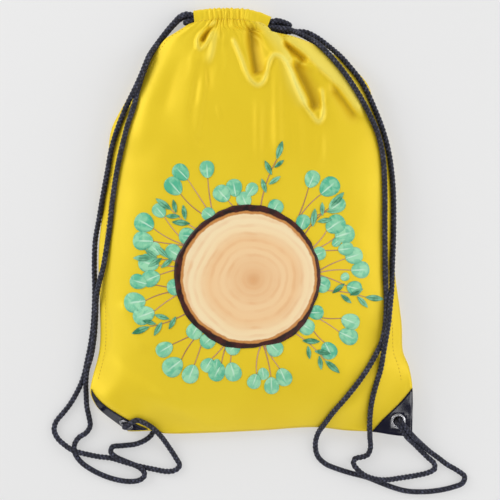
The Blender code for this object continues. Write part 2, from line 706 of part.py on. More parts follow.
def over_flange(aside):
    """A squeezed strand, up through the bore and away over the flange."""
    return out_of_eyelet(RIGHT, aside, BELOW, 0.0, 2.4, 4.6) + [
        out_of_eyelet(RIGHT, aside + heading * reach, rise)[0]
        for reach, rise in ((2.2, 6.7), (8.4, 7.3))]


right_out = over_flange(-beside)
right_outer = lying(
    ground, (152.0, -209.6), (160.6, -218.4), (167.5, -225.4), (175.6, -233.4), (181.4, -238.8),
    (182.2, -244.0), (176.6, -247.8), (164.1, -250.9), (148.4, -253.2), (135.5, -254.6, 2.0),
    (124.5, -253.8, CROSSING), (112.5, -250.0, CROSSING), (104.7, -243.8, CROSSING), (101.0, -238.0),
    (102.6, -234.0), (109.4, -232.4), (115.2, -230.2), (118.0, -222.6), (117.2, -214.0),
    (115.8, -201.7), (116.0, -186.0), (117.6, -170.7), (121.0, -156.0), (125.3, -142.3),
    (127.8, -128.0, 1.0), (130.2, -113.0, CROSSING), (132.9, -97.2, CROSSING),
    (134.8, -81.5, CROSSING), (137.2, -63.0, 2.5), (138.4, -42.0), (139.6, -20.0),
    (140.0, 5.0), (139.6, 31.2), (138.0, 51.0), (135.3, 69.4), (132.0, 83.0),
    (127.6, 96.9), (121.4, 111.9), (114.6, 126.6), (106.6, 140.4), (97.6, 152.1),
    (86.4, 165.4), (75.6, 176.2), (65.2, 184.4))
right_under = [Vector((54.0, 189.8, 3.0)), Vector((42.0, 190.4, 3.4)), Vector((29.0, 190.0, 4.4))]
right_left_bight = [Vector((-61.0, 197.9, 5.6)), Vector((-64.4, 197.7, 8.6)), Vector((-65.2, 197.6, 11.8)),
                    Vector((-64.4, 197.7, 15.0)), Vector((-61.0, 197.9, 18.0))]
right_over = [Vector((26.0, 191.2, FRONT_CASING_HEIGHT + 0.6)), Vector((38.0, 189.4, FRONT_CASING_HEIGHT + 0.8))]
right_inner = lying(
    ground, (48.5, 186.6), (58.8, 180.8), (68.4, 172.8), (80.6, 159.4), (91.4, 145.4),
    (100.7, 131.7), (109.6, 117.3), (117.2, 103.0), (123.3, 89.3), (127.2, 74.8),
    (129.4, 59.0), (130.4, 31.2), (130.4, 0.0), (130.6, -26.7), (131.0, -58.0),
    (131.8, -73.7), (131.0, -92.3), (129.5, -105.0), (126.4, -116.8), (121.9, -125.7),
    (113.6, -139.9), (103.1, -155.0), (92.2, -168.8), (81.2, -182.5), (71.9, -197.2),
    (65.4, -209.4), (63.3, -220.4), (65.7, -231.5), (73.4, -239.3), (85.9, -244.6),
    (98.4, -248.5), (114.1, -252.6), (128.1, -258.1), (142.2, -263.4), (154.7, -266.5),
    (170.3, -267.2), (185.9, -265.8), (200.1, -262.6), (209.8, -258.5), (211.8, -252.0),
    (204.9, -246.2), (194.2, -239.9), (185.4, -233.2), (176.0, -226.2), (166.6, -217.6),
    (157.4, -208.2, 1.0))
right_in = list(reversed(over_flange(beside)))

cord("right_cord", [
    (right_out, HELD), (right_outer, LYING), (right_under, UNDER),
    (in_casing(BACK_CASING_HEIGHT, -CORD_IN_CASING, False), HELD), (right_left_bight, HELD),
    (in_casing(FRONT_CASING_HEIGHT, -CORD_IN_CASING, True), HELD), (right_over, HELD),
    (right_inner, LYING), (right_in, HELD),
], ground, navy_cord, squeezed_at=RIGHT.translation / MM)
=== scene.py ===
# %% [markdown]
# # A drawstring backpack, laid on its back
# The bag is two panels of yellow satin sewn round the edge, a gathered sleeve at the mouth, black
# corner triangles with metal eyelets, and two braided cords that run through the sleeve and end in
# knots under the corners. This lesson makes each of those pieces in turn. The shared frame comes
# first, because every piece is placed in it and takes the place of a plain solid there.

import functools
import json
import math
import random

import bmesh
import bpy
import numpy
from mathutils import Matrix, Vector, noise
from mathutils.bvhtree import BVHTree

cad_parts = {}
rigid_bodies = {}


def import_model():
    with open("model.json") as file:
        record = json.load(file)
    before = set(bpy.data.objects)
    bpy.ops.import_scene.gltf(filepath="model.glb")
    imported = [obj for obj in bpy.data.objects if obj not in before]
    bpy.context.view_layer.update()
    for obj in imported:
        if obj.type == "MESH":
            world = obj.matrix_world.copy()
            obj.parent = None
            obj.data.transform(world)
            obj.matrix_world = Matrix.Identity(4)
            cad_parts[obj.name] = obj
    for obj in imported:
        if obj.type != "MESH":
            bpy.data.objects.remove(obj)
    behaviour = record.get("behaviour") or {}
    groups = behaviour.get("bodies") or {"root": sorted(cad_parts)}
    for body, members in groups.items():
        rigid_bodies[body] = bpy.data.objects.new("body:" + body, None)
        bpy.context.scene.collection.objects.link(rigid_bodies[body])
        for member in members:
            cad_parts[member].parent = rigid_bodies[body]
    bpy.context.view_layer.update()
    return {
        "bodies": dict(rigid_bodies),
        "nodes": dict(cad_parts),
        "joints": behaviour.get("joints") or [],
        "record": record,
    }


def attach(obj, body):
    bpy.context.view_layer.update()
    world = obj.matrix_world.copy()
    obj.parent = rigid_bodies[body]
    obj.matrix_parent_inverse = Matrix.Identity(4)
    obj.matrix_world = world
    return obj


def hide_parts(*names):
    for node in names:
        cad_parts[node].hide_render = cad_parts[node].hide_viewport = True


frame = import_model()
MM = 0.001

# %% [markdown]
# ## The camera
# The bag is seen from straight above. A long lens far away keeps the puffed middle from looking
# larger than the edges, so an 85 mm lens is hung a little over a metre up. It is made before the
# cords, because the cords are measured against what it sees.

# %% The camera
CAMERA_HEIGHT = 1.177
camera = bpy.data.objects.new("camera", bpy.data.cameras.new("camera"))
camera.data.lens = 85.0
camera.data.sensor_width = 36.0
camera.location = (-0.0016, -0.0267, CAMERA_HEIGHT)
bpy.context.scene.collection.objects.link(camera)
bpy.context.scene.camera = camera
print("camera at", tuple(camera.location))

# %% [markdown]
# ## The outline of the bag
# A sewn bag has a real outline, which is neither straight nor even, so it is given as smooth curves
# through a few places along each edge: how far along, then x and y in millimetres. Every point of
# the cloth then has two numbers, s from the left seam to the right one and t from the bottom to
# the mouth, and a Coons patch between the four edges says where it lies, seen from above.

# %% Edges and the plan of the cloth
FABRIC, PATCH, GAP = 1.0, 0.8, 0.3
SEAM_STEP = (FABRIC + GAP) / 2
SEAM_HEIGHT, MOUTH_RISE, MOUTH_STEP = 8.0, 3.8, 6.8
PUFF, PUFF_REACH, SINK_REACH = 31.0, 28.0, 45.0
LEFT_CORNER_HEIGHT, RIGHT_CORNER_HEIGHT = 4.0, 13.6
LEFT_FOLD_LIFT, LEFT_FOLD_HALF_LENGTH = 20.0, 30.0
SLEEVE_DEPTH, SLEEVE_THICKNESS, TUCK = 14.4, 8.0, 4.0
BACK_SLEEVE_HEIGHT = SEAM_HEIGHT + MOUTH_RISE - MOUTH_STEP
FRONT_SLEEVE_HEIGHT = SEAM_HEIGHT + MOUTH_RISE + MOUTH_STEP
LEFT_PATCH_SHARE, RIGHT_PATCH_SHARE, PATCH_RISE = 0.086, 0.14, 0.11

LEFT_EDGE = [
    (0.00, -122.0, -206.0), (0.045, -146.5, -187.0), (0.075, -154.5, -176.5), (0.11, -158.4, -163.5),
    (0.20, -150.0, -123.6), (0.30, -149.8, -81.0), (0.42, -151.0, -30.0), (0.53, -146.6, 17.0),
    (0.65, -141.6, 68.0), (0.72, -138.0, 93.5), (0.79, -124.5, 119.5), (0.86, -107.5, 148.0),
    (0.93, -87.0, 179.0), (0.965, -73.0, 188.0),
]
RIGHT_EDGE = [
    (0.00, 158.0, -208.9), (0.11, 158.3, -162.5), (0.165, 155.0, -142.0), (0.20, 149.3, -126.6),
    (0.26, 148.0, -99.0), (0.36, 141.8, -53.0), (0.43, 140.0, -26.7), (0.56, 140.5, 26.3),
    (0.66, 135.6, 71.3), (0.75, 121.0, 115.0), (0.82, 113.0, 139.0), (0.89, 86.6, 162.5),
    (0.955, 49.5, 180.0), (0.985, 25.0, 182.0),
]
BOTTOM_EDGE = [
    (0.00, -122.0, -206.0), (0.086, -100.0, -204.4), (0.14, -85.0, -207.8), (0.285, -43.0, -207.2),
    (0.475, 10.0, -204.8), (0.655, 61.0, -201.6), (0.76, 92.0, -204.4), (0.86, 118.6, -205.6),
    (0.955, 146.0, -209.6), (1.00, 158.0, -208.9),
]
SLEEVE_LINE = [
    (0.0, -56.5, 201.3), (0.22, -41.0, 202.8), (0.45, -24.0, 203.2), (0.68, -7.0, 202.4),
    (0.85, 6.0, 199.8), (1.0, 17.0, 195.6),
]


def smooth_step(value):
    value = min(max(value, 0.0), 1.0)
    return value * value * (3.0 - 2.0 * value)


def through(points, share):
    """A point on the smooth curve through (share, x, y) points."""
    last = len(points) - 2
    index = next((i for i in range(last) if share <= points[i + 1][0]), last)
    start, end = points[index], points[index + 1]
    before, after = points[max(index - 1, 0)], points[min(index + 2, last + 1)]
    span = end[0] - start[0]
    u = (share - start[0]) / span
    p0, p1 = Vector(start[1:]), Vector(end[1:])
    slope0 = (p1 - Vector(before[1:])) / (end[0] - before[0])
    slope1 = (Vector(after[1:]) - p0) / (after[0] - start[0])
    return ((2 * u**3 - 3 * u**2 + 1) * p0 + (u**3 - 2 * u**2 + u) * span * slope0
            + (3 * u**2 - 2 * u**3) * p1 + (u**3 - u**2) * span * slope1)


@functools.lru_cache(maxsize=None)
def sleeve_frame(share):
    """Middle of the sleeves and the direction across them, towards the mouth's rim."""
    along = (through(SLEEVE_LINE, share + 0.02) - through(SLEEVE_LINE, share - 0.02)).normalized()
    return through(SLEEVE_LINE, share), Vector((-along.y, along.x))


@functools.lru_cache(maxsize=None)
def top_edge(share):
    middle, across = sleeve_frame(share)
    return middle - across * (SLEEVE_DEPTH / 2 - TUCK)


LEFT_EDGE.append((1.0, *top_edge(0.0)))
RIGHT_EDGE.append((1.0, *top_edge(1.0)))


@functools.lru_cache(maxsize=None)
def side_edges(t):
    return through(LEFT_EDGE, t), through(RIGHT_EDGE, t)


@functools.lru_cache(maxsize=None)
def end_edges(s):
    return through(BOTTOM_EDGE, s), top_edge(s)


BOTTOM_LEFT, BOTTOM_RIGHT = through(BOTTOM_EDGE, 0.0), through(BOTTOM_EDGE, 1.0)
TOP_LEFT, TOP_RIGHT = top_edge(0.0), top_edge(1.0)


def plan(s, t):
    """Where the cloth lies, seen from above."""
    left, right = side_edges(t)
    bottom, top = end_edges(s)
    corners = ((1 - s) * (1 - t) * BOTTOM_LEFT + s * (1 - t) * BOTTOM_RIGHT
               + (1 - s) * t * TOP_LEFT + s * t * TOP_RIGHT)
    return (1 - s) * left + s * right + (1 - t) * bottom + t * top - corners


print("plan of the cloth: middle at", tuple(plan(0.5, 0.5)))

# %% [markdown]
# ## The puffed shape
# One middle sheet runs through all the seams. The front panel rises from it like a slack pillow,
# and the back panel sinks to the floor. The left corner is bent down and the right one lies on
# its knot, so the sheet is lifted and lowered round them. This could be left to a cloth
# simulation, but the bag has to keep to the shape of its solids, so it is plain arithmetic.


# %% The two panels' shapes
class FoldLine:
    """The long side of a corner triangle: how far inward of it a place is, and how far along it."""

    def __init__(self, side_end, bottom_end, corner):
        self.middle = (side_end + bottom_end) / 2
        self.along = (bottom_end - side_end).normalized()
        self.inward = Vector((-self.along.y, self.along.x))
        if self.inward.dot(corner - self.middle) > 0:
            self.inward = -self.inward
        self.depth = -self.inward.dot(corner - self.middle)

    def measure(self, place):
        offset = place - self.middle
        return self.inward.dot(offset), self.along.dot(offset)


LEFT_FOLD = FoldLine(through(LEFT_EDGE, PATCH_RISE), through(BOTTOM_EDGE, LEFT_PATCH_SHARE), BOTTOM_LEFT)
RIGHT_FOLD = FoldLine(through(RIGHT_EDGE, PATCH_RISE), through(BOTTOM_EDGE, 1 - RIGHT_PATCH_SHARE),
                      BOTTOM_RIGHT)


def middle_sheet(s, t):
    """The sheet that runs through every seam, in millimetres."""
    place = plan(s, t)
    height = SEAM_HEIGHT + MOUTH_RISE * smooth_step((t - 0.7) / 0.3)
    from_left, from_right = (place - BOTTOM_LEFT).length, (place - BOTTOM_RIGHT).length
    height += (LEFT_CORNER_HEIGHT - SEAM_HEIGHT) * (1 - smooth_step(from_left / 50.0))
    height += (RIGHT_CORNER_HEIGHT - SEAM_HEIGHT) * (1 - smooth_step((from_right - 42.0) / 45.0))
    inward, along = LEFT_FOLD.measure(place)
    below = (-inward + math.hypot(inward, 2.0)) / 2
    ridge = max(1.0 - below / LEFT_FOLD.depth, 0.0) / (1.0 + (along / LEFT_FOLD_HALF_LENGTH) ** 4)
    height += LEFT_FOLD_LIFT * ridge * (1 - smooth_step(inward / SINK_REACH))
    return Vector((place.x, place.y, height))


def sheet_normal(s, t):
    step = 0.004
    across = middle_sheet(min(s + step, 1), t) - middle_sheet(max(s - step, 0), t)
    upward = middle_sheet(s, min(t + step, 1)) - middle_sheet(s, max(t - step, 0))
    return across.cross(upward).normalized()


def seam_distances(s, t):
    left, right = side_edges(t)
    bottom, top = end_edges(s)
    return min(s, 1 - s) * (right - left).length, t * (top - bottom).length


def step_out(s, t):
    """From the middle sheet to a panel: square to the sheet, and straight up at the mouth."""
    upright = smooth_step((t - 0.8) / 0.1)
    direction = sheet_normal(s, t).lerp(Vector((0, 0, 1)), upright).normalized()
    return direction * (SEAM_STEP + (MOUTH_STEP - SEAM_STEP) * smooth_step((t - 0.9) / 0.1))


def front_point(s, t):
    place = middle_sheet(s, t)
    side, bottom = seam_distances(s, t)
    left, right = LEFT_FOLD.measure(place.xy)[0], RIGHT_FOLD.measure(place.xy)[0]
    rise = PUFF * (1 - t**4) ** 0.8
    rise *= (1 - math.exp(-side / PUFF_REACH)) * (1 - math.exp(-bottom / PUFF_REACH))
    rise *= smooth_step((left + 2.0) / 40.0) * smooth_step((right + 2.0) / 40.0)
    return place + step_out(s, t) + Vector((0, 0, rise))


def back_point(s, t):
    place = middle_sheet(s, t)
    side, bottom = seam_distances(s, t)
    left, right = LEFT_FOLD.measure(place.xy)[0], RIGHT_FOLD.measure(place.xy)[0]
    sink = smooth_step(side / SINK_REACH) * smooth_step(bottom / SINK_REACH)
    sink *= smooth_step(left / SINK_REACH) * smooth_step(right / SINK_REACH)
    sink *= 1 - smooth_step((t - 0.92) / 0.08)
    point = place - step_out(s, t)
    point.z += (FABRIC / 2 - point.z) * sink
    return point


print("front panel's middle is", round(front_point(0.5, 0.5).z, 1), "mm up")

# %% [markdown]
# ## Folds and gathers
# Drawing the mouth shut leaves pleats that fan out from the sleeve: thin bright lips round deep
# pockets, long soft creases, and fine puckers. A simulation would give folds, but never these
# ones. So each fold is a stroke, as a sculptor's brush would make it: the places it runs through,
# its height or depth, how far it spreads to its left and to its right, and how long its ends fade.
# A short spread on one side and a long one on the other gives cloth that hangs over itself. Each
# place also keeps its painted shading, so that the satin's colour has a painted highlight on lips
# and painted shade in pockets.

# %% The folds
FOLDS = [
    # the long lip: down, round the first pocket, over an arch and round the second pocket
    ([(-19.5, 182.7), (-14.9, 171.5), (-10.2, 160.2), (-5.5, 147.1), (0.1, 137.2), (6.2, 133.5),
      (11.4, 137.2), (14.7, 147.1), (17.5, 157.4), (22.2, 163.5), (29.2, 161.2), (35.8, 151.8),
      (42.3, 134.9), (48.9, 119.9), (56.4, 107.7), (64.8, 97.9), (68.6, 102.1), (69.3, 119.9),
      (67.6, 134.0)], 2.8, 2.0, 2.0, 8.0),
    # the first pocket, and the second
    ([(-1.8, 196.0), (-0.4, 176.2), (2.2, 157.4), (5.8, 140.5)], -7.0, 9.0, 4.2, 8.0),
    ([(38.5, 160.0), (47.0, 143.0), (53.5, 130.0), (62.5, 106.0)], -6.5, 9.0, 3.6, 9.0),
    # the diagonal crease that hangs over the second pocket
    ([(3.9, 202.4), (19.8, 187.4), (29.2, 176.2), (33.9, 167.7), (37.6, 158.3), (44.0, 136.9),
      (51.5, 122.7), (57.1, 112.4)], 3.0, 2.4, 8.0, 10.0),
    # the upper pocket, the crease over it and the lip under it
    ([(29.1, 179.1), (42.3, 168.4), (56.4, 157.0)], -6.0, 3.0, 5.5, 8.0),
    ([(27.3, 182.8), (42.3, 173.4), (50.8, 166.8), (63.0, 155.6), (70.5, 148.1), (76.8, 142.4),
      (92.0, 124.0), (108.0, 102.0)], 4.0, 14.0, 2.4, 14.0),
    ([(35.8, 163.0), (47.0, 157.4), (61.1, 150.8), (68.0, 151.0)], 2.0, 3.0, 3.0, 6.0),
    ([(76.0, 139.0), (92.0, 119.0), (107.0, 97.0)], -5.0, 4.0, 7.5, 14.0),
    # soft ridges that hang down from the lip
    ([(6.2, 132.0), (6.2, 92.0), (6.6, 48.0)], 1.5, 4.0, 4.0, 30.0),
    ([(24.2, 161.0), (24.8, 110.0), (26.0, 44.0)], 1.7, 4.5, 4.5, 30.0),
    ([(66.8, 97.0), (66.8, 76.0), (67.2, 50.0)], 1.5, 4.0, 5.0, 20.0),
    ([(42.0, 118.0), (45.0, 88.0), (47.0, 55.0)], 0.9, 5.0, 5.0, 20.0),
    ([(15.5, 128.0), (15.8, 100.0), (16.0, 66.0)], -0.9, 5.0, 5.0, 20.0),
    # the small pouch beside the gathers, and its lip
    ([(-38.3, 193.0), (-44.9, 184.6), (-50.0, 175.6)], -5.5, 3.2, 3.2, 5.0),
    ([(-33.6, 198.2), (-42.0, 191.1), (-49.5, 184.6), (-53.3, 178.0), (-52.4, 171.9),
      (-50.2, 169.6), (-46.3, 172.4), (-41.1, 181.8), (-37.4, 191.2)], 2.0, 1.7, 1.7, 5.0),
    # the long drop that hangs from the pouch
    ([(-51.0, 168.7), (-54.2, 152.7), (-58.9, 134.0), (-61.7, 117.1), (-62.7, 105.8),
      (-61.7, 91.8), (-57.0, 77.7), (-52.0, 73.5), (-47.5, 78.0)], 1.3, 3.0, 9.0, 10.0),
    ([(-45.6, 154.7), (-47.5, 134.0), (-50.0, 110.0), (-53.0, 90.0), (-55.0, 76.0)],
     1.3, 3.0, 6.0, 14.0),
    ([(-44.2, 158.0), (-42.8, 141.0), (-41.0, 126.0)], -1.2, 5.0, 1.8, 10.0),
    ([(-51.0, 146.0), (-54.0, 128.0), (-56.0, 110.0)], -0.7, 3.4, 3.4, 12.0),
    ([(-34.7, 193.0), (-36.0, 180.0), (-38.5, 165.0), (-43.0, 152.0)], 2.0, 2.4, 5.0, 12.0),
    ([(-34.1, 115.2), (-28.9, 98.3)], 0.8, 2.0, 2.0, 6.0),
    # the wide fall of cloth left of the gathers
    ([(-60.0, 186.0), (-84.0, 150.0), (-104.0, 108.0), (-110.0, 60.0)], 2.2, 12.0, 16.0, 30.0),
    ([(-66.0, 176.0), (-80.0, 138.0), (-88.0, 96.0)], -1.6, 8.0, 10.0, 25.0),
    # wrinkles lower down
    ([(-130.9, -75.7), (-116.0, -101.0), (-99.6, -126.6)], 1.6, 4.0, 7.0, 12.0),
    ([(-124.0, -66.0), (-110.0, -84.0), (-98.0, -104.0)], -1.0, 4.0, 6.0, 12.0),
    ([(-138.8, 27.2), (-139.8, -31.6), (-142.0, -55.0), (-144.3, -79.6), (-139.6, -104.0),
      (-141.0, -118.0), (-150.0, -138.0)], -1.3, 2.2, 2.2, 12.0),
    ([(128.0, 60.0), (132.0, 0.0), (131.0, -50.0)], 1.2, 5.0, 6.0, 30.0),
    ([(86.0, -196.0), (88.0, -160.0), (98.0, -120.0)], 1.2, 8.0, 10.0, 24.0),
    ([(-70.0, -202.0), (-66.0, -170.0), (-70.0, -140.0)], 1.2, 9.0, 9.0, 24.0),
]


def smooth_curve(points, spacing):
    """Points every few millimetres on the smooth curve through a route, and each one's place on it."""
    padded = [2 * points[0] - points[1]] + points + [2 * points[-1] - points[-2]]
    curve, owner = [], []
    for index, (p0, p1, p2, p3) in enumerate(zip(padded, padded[1:], padded[2:], padded[3:])):
        k0, k1, k2 = (max((b - a).length, 0.01) ** 0.5 for a, b in ((p0, p1), (p1, p2), (p2, p3)))
        slope1 = ((p1 - p0) / k0 - (p2 - p0) / (k0 + k1) + (p2 - p1) / k1) * k1
        slope2 = ((p2 - p1) / k1 - (p3 - p1) / (k1 + k2) + (p3 - p2) / k2) * k1
        steps = max(int((p2 - p1).length / spacing), 1)
        for i in range(steps):
            u = i / steps
            curve.append((2 * u**3 - 3 * u**2 + 1) * p1 + (u**3 - 2 * u**2 + u) * slope1
                         + (3 * u**2 - 2 * u**3) * p2 + (u**3 - u**2) * slope2)
            owner.append(index + u)
    return curve + [points[-1].copy()], owner + [len(points) - 1]


def fold_heights(places):
    """What the strokes add at each place, in millimetres, and the painted shading they give the cloth's
    colour.
    """
    heights, pale = numpy.zeros(len(places)), numpy.zeros(len(places))
    for points, height, left, right, fade in FOLDS:
        line = numpy.array(smooth_curve([Vector(p) for p in points], 1.0)[0])
        tangent = numpy.gradient(line, axis=0)
        tangent /= numpy.linalg.norm(tangent, axis=1)[:, None]
        lengths = numpy.linalg.norm(numpy.diff(line, axis=0), axis=1)
        run = numpy.concatenate(([0], numpy.cumsum(lengths)))
        reach = 2.6 * max(left, right)
        low, high = line.min(axis=0) - reach, line.max(axis=0) + reach
        near = numpy.all((places > low) & (places < high), axis=1)
        offset = places[near][:, None, :] - line[None, :, :]
        closest = numpy.argmin((offset**2).sum(axis=2), axis=1)
        offset = offset[numpy.arange(len(closest)), closest]
        along = tangent[closest]
        side = along[:, 0] * offset[:, 1] - along[:, 1] * offset[:, 0]
        spread = numpy.where(side > 0, left, right)
        ends = numpy.clip(numpy.minimum(run[closest], run[-1] - run[closest]) / fade, 0, 1)
        taper = ends * ends * (3 - 2 * ends)
        shape = taper * numpy.exp(-(offset**2).sum(axis=1) / spread**2)
        heights[near] += height * shape
        # deep pockets get painted shade and narrow lips a painted highlight, for the satin's colour
        if height < -2.0:
            pale[near] += shape * height / 7.0
        elif min(left, right) < 2.7:
            pale[near] += shape * min(max(height - 0.9, 0.0) * 0.45, 0.8)
    return heights, pale


print(len(FOLDS), "folds")

# %% [markdown]
# The gathers are where the cord bunches the sleeve: a row of narrow ridges, closer together where
# the cloth is squeezed most. They go on down into the panel and fade there. Ridges at chosen
# places, each with its own height and a slow wander, look more like bunched cloth than a wave does.

# %% The gathers
GATHERS = [
    (0.09, 0.25, 0.030), (0.17, 0.30, 0.026), (0.235, 0.65, 0.016), (0.286, 0.85, 0.013),
    (0.322, 0.60, 0.011), (0.356, 0.95, 0.012), (0.398, 0.75, 0.013), (0.436, 0.90, 0.012),
    (0.472, 0.55, 0.010), (0.507, 1.10, 0.016), (0.556, 0.45, 0.012), (0.597, 0.85, 0.014),
    (0.643, 1.10, 0.017), (0.705, 0.80, 0.024), (0.775, 0.45, 0.026), (0.86, 0.30, 0.030),
]


def gathers(share, below):
    """The puckers' height, 0 to about 1. Below is how far under the sleeve's top, in millimetres."""
    total = 0.0
    for index, (centre, height, width) in enumerate(GATHERS):
        wander = 0.007 * math.sin(below * 0.23 + index * 2.1)
        reach = 24.0 + 12.0 * math.sin(index * 4.3)
        fade = math.exp(-max(below - 12.0, 0.0) / reach) if below > 12.0 else 1.0
        total += height * fade * math.exp(-((share - centre - wander) / width) ** 2)
    return total


def cloth_relief(places, s, t):
    """Folds, gathers and slight unevenness for the front panel, and its painted shading from the folds.
    """
    relief, pale = fold_heights(places)
    for i, (place, here, up) in enumerate(zip(places, s, t)):
        x, y = place
        side = min(here, 1 - here) * 300.0
        inner = smooth_step(side / 20.0) * smooth_step(up * 420.0 / 20.0)
        relief[i] *= smooth_step(side / 6.0)
        relief[i] += 1.1 * inner * noise.noise(Vector((x * 0.017, y * 0.012, 3.0)))
        relief[i] += 0.45 * noise.noise(Vector((x * 0.05, y * 0.035, 8.0))) * smooth_step(up * 20.0)
        pucker = noise.noise(Vector((x * 0.11, y * 0.11, 5.0)))
        relief[i] += 0.35 * (1 - inner) * pucker * smooth_step(side / 3.0)
        below = (1 - up) * 400.0
        relief[i] += 2.7 * math.exp(-max(below - 6.0, 0.0) / 16.0) * smooth_step(side / 30.0)
        if up > 0.8:
            pucker = gathers(here, below + SLEEVE_DEPTH - TUCK)
            relief[i] += 2.3 * pucker * smooth_step((up - 0.8) / 0.06)
    return relief, pale


print(len(GATHERS), "gathers")

# %% [markdown]
# ## Making cloth from a grid
# A flat grid with a point for each crossing of thread lines is the natural start for sewn cloth:
# it has no poles and its flat layout gives the weave its coordinates. Each point is then moved to
# its place. The grid is finer towards the mouth, where the folds are.

# %% A grid moved into place
CUT = (0.34, 0.42)
PATCH_CELLS, SPARE_CELLS = 16, 4


def line_shares(*stretches):
    """Grid lines from 0, a number of even cells up to each given share."""
    lines, start = [0.0], 0.0
    for share, cells in stretches:
        lines += [start + (share - start) * (i + 1) / cells for i in range(cells)]
        start = share
    return lines


def line_layer(bm, name, axis, cells):
    layer = bm.verts.layers.int.new(name)
    for vert in bm.verts:
        vert[layer] = round((vert.co[axis] + 0.5) * cells)
    return layer


def cloth_grid(point, column_lines, row_lines, relief):
    """A grid whose points are at point(s, t), with a flat layout in metres for the weave."""
    bm = bmesh.new()
    columns, rows = len(column_lines) - 1, len(row_lines) - 1
    bmesh.ops.create_grid(bm, x_segments=columns, y_segments=rows, size=0.5)
    column, row = line_layer(bm, "column", 0, columns), line_layer(bm, "row", 1, rows)
    s = [column_lines[v[column]] for v in bm.verts]
    t = [row_lines[v[row]] for v in bm.verts]
    places = [point(*pair) for pair in zip(s, t)]
    lifts, pale = relief(numpy.array([p.xy for p in places]), s, t)
    for vert, place, lift in zip(bm.verts, places, lifts):
        vert.co = Vector((place.x, place.y, place.z + lift)) * MM
    # the folds' painted shading, kept at each point for the satin's colour
    if pale is not None:
        layer = bm.verts.layers.float.new("pale")
        for vert, value in zip(bm.verts, pale):
            vert[layer] = value
    flat = bm.loops.layers.uv.new("cloth")
    for face in bm.faces:
        for loop in face.loops:
            loop[flat].uv = (column_lines[loop.vert[column]] * CUT[0],
                             row_lines[loop.vert[row]] * CUT[1])
    bm.normal_update()
    return bm, column, row


def piece(name, bm, smooth=True):
    """A finished mesh as an object that stands in the shared frame."""
    mesh = bpy.data.meshes.new(name)
    bm.to_mesh(mesh)
    bm.free()
    if smooth:
        mesh.shade_smooth()
    made = bpy.data.objects.new(name, mesh)
    bpy.context.scene.collection.objects.link(made)
    print(f"{name}: {len(mesh.polygons)} faces")
    return made


def wall(made, thickness, offset=0.0):
    shell = made.modifiers.new("wall", "SOLIDIFY")
    shell.thickness, shell.offset = thickness * MM, offset
    return made


# %% [markdown]
# ## Eyelet places
# The eyelets hold the corner's four layers together, so each has its own turned frame: its middle
# is in the middle sheet and its axis stands square to it. Everything that goes through the eyelet,
# the hole in each layer, the metal, the cords and the knot, is placed in that frame.

# %% Eyelet frames and holes
EYELET_FLANGE, BARREL, BORE, HOLE, LIP, METAL = 7.4, 5.0, 4.5, 5.3, 6.3, 0.9
STACK = 2 * FABRIC + 2 * PATCH + 3 * GAP


def eyelet_frame(s, t):
    across = middle_sheet(s + 0.02, t) - middle_sheet(s - 0.02, t)
    upward = middle_sheet(s, t + 0.02) - middle_sheet(s, t - 0.02)
    turn = across.cross(upward).normalized().to_track_quat("Z", "Y").to_matrix().to_4x4()
    return Matrix.Translation(middle_sheet(s, t) * MM) @ turn


LEFT = eyelet_frame(LEFT_PATCH_SHARE * 0.48, PATCH_RISE * 0.18)
RIGHT = eyelet_frame(1 - RIGHT_PATCH_SHARE * 0.35, PATCH_RISE * 0.31)
EYELETS = {"left": (LEFT, 1.2), "right": (RIGHT, 0.0)}


def pierce(bm, frame):
    """Opens a round hole: the points inside go, and those round them are drawn onto a circle."""
    inverse = frame.inverted()
    middle = {v for v in bm.verts if (inverse @ v.co).xy.length < HOLE * MM * 0.93
              and (inverse @ v.co).length < 2 * HOLE * MM}
    rim = {u for v in middle for face in v.link_faces for u in face.verts} - middle
    bmesh.ops.delete(bm, geom=list(middle), context="VERTS")
    for vert in rim:
        place = inverse @ vert.co
        place.xy *= HOLE * MM / place.xy.length
        vert.co = frame @ place


print("eyelets at", [tuple(round(x, 3) for x in f.translation) for f, _ in EYELETS.values()])

# %% [markdown]
# ## The panels
# Front and back are two grids on their two shapes, with a one millimetre wall. The front carries
# the folds. The back lies on the floor, so it only has the gathers at its mouth.

# %% Front and back panels
COLUMN_LINES = line_shares((LEFT_PATCH_SHARE, PATCH_CELLS), (1 - RIGHT_PATCH_SHARE, 168),
                           (1.0, PATCH_CELLS))
ROW_LINES = line_shares((PATCH_RISE, PATCH_CELLS), (0.6, 70), (1.0, 114))
BACK_COLUMNS = line_shares((LEFT_PATCH_SHARE, PATCH_CELLS), (1 - RIGHT_PATCH_SHARE, 90),
                           (1.0, PATCH_CELLS))
BACK_ROWS = line_shares((PATCH_RISE, PATCH_CELLS), (1.0, 110))


def back_relief(places, s, t):
    """The back only rises from the floor, by a little unevenness and the gathers."""
    lifts = []
    for (x, y), here, up in zip(places, s, t):
        lift = 0.5 + 0.5 * noise.noise(Vector((x * 0.03, y * 0.02, 1.0)))
        lift *= smooth_step(min(here, 1 - here) * 12.0) * smooth_step(up * 12.0)
        if up > 0.86:
            pucker = gathers(here, (1 - up) * 400.0 + SLEEVE_DEPTH)
            lift -= pucker * smooth_step((up - 0.86) / 0.06)
        lifts.append(lift)
    return lifts, None


def panel(name, point, lines, relief, facing_down):
    bm, _, _ = cloth_grid(point, *lines, relief)
    for frame_of_eyelet, _ in EYELETS.values():
        pierce(bm, frame_of_eyelet)
    if facing_down:
        bmesh.ops.reverse_faces(bm, faces=bm.faces)
    return wall(piece(name, bm), FABRIC)


front = panel("satin_front", front_point, (COLUMN_LINES, ROW_LINES), cloth_relief, False)
back = panel("satin_back", back_point, (BACK_COLUMNS, BACK_ROWS), back_relief, True)

# %% [markdown]
# ## The corner triangles
# Each corner is covered front and back with a triangle of glossy black sheet. It has to lie on the
# bent cloth exactly, so it is cut from the same grid: the part inside the long side, moved out
# along its normals, with a slightly rounded edge.


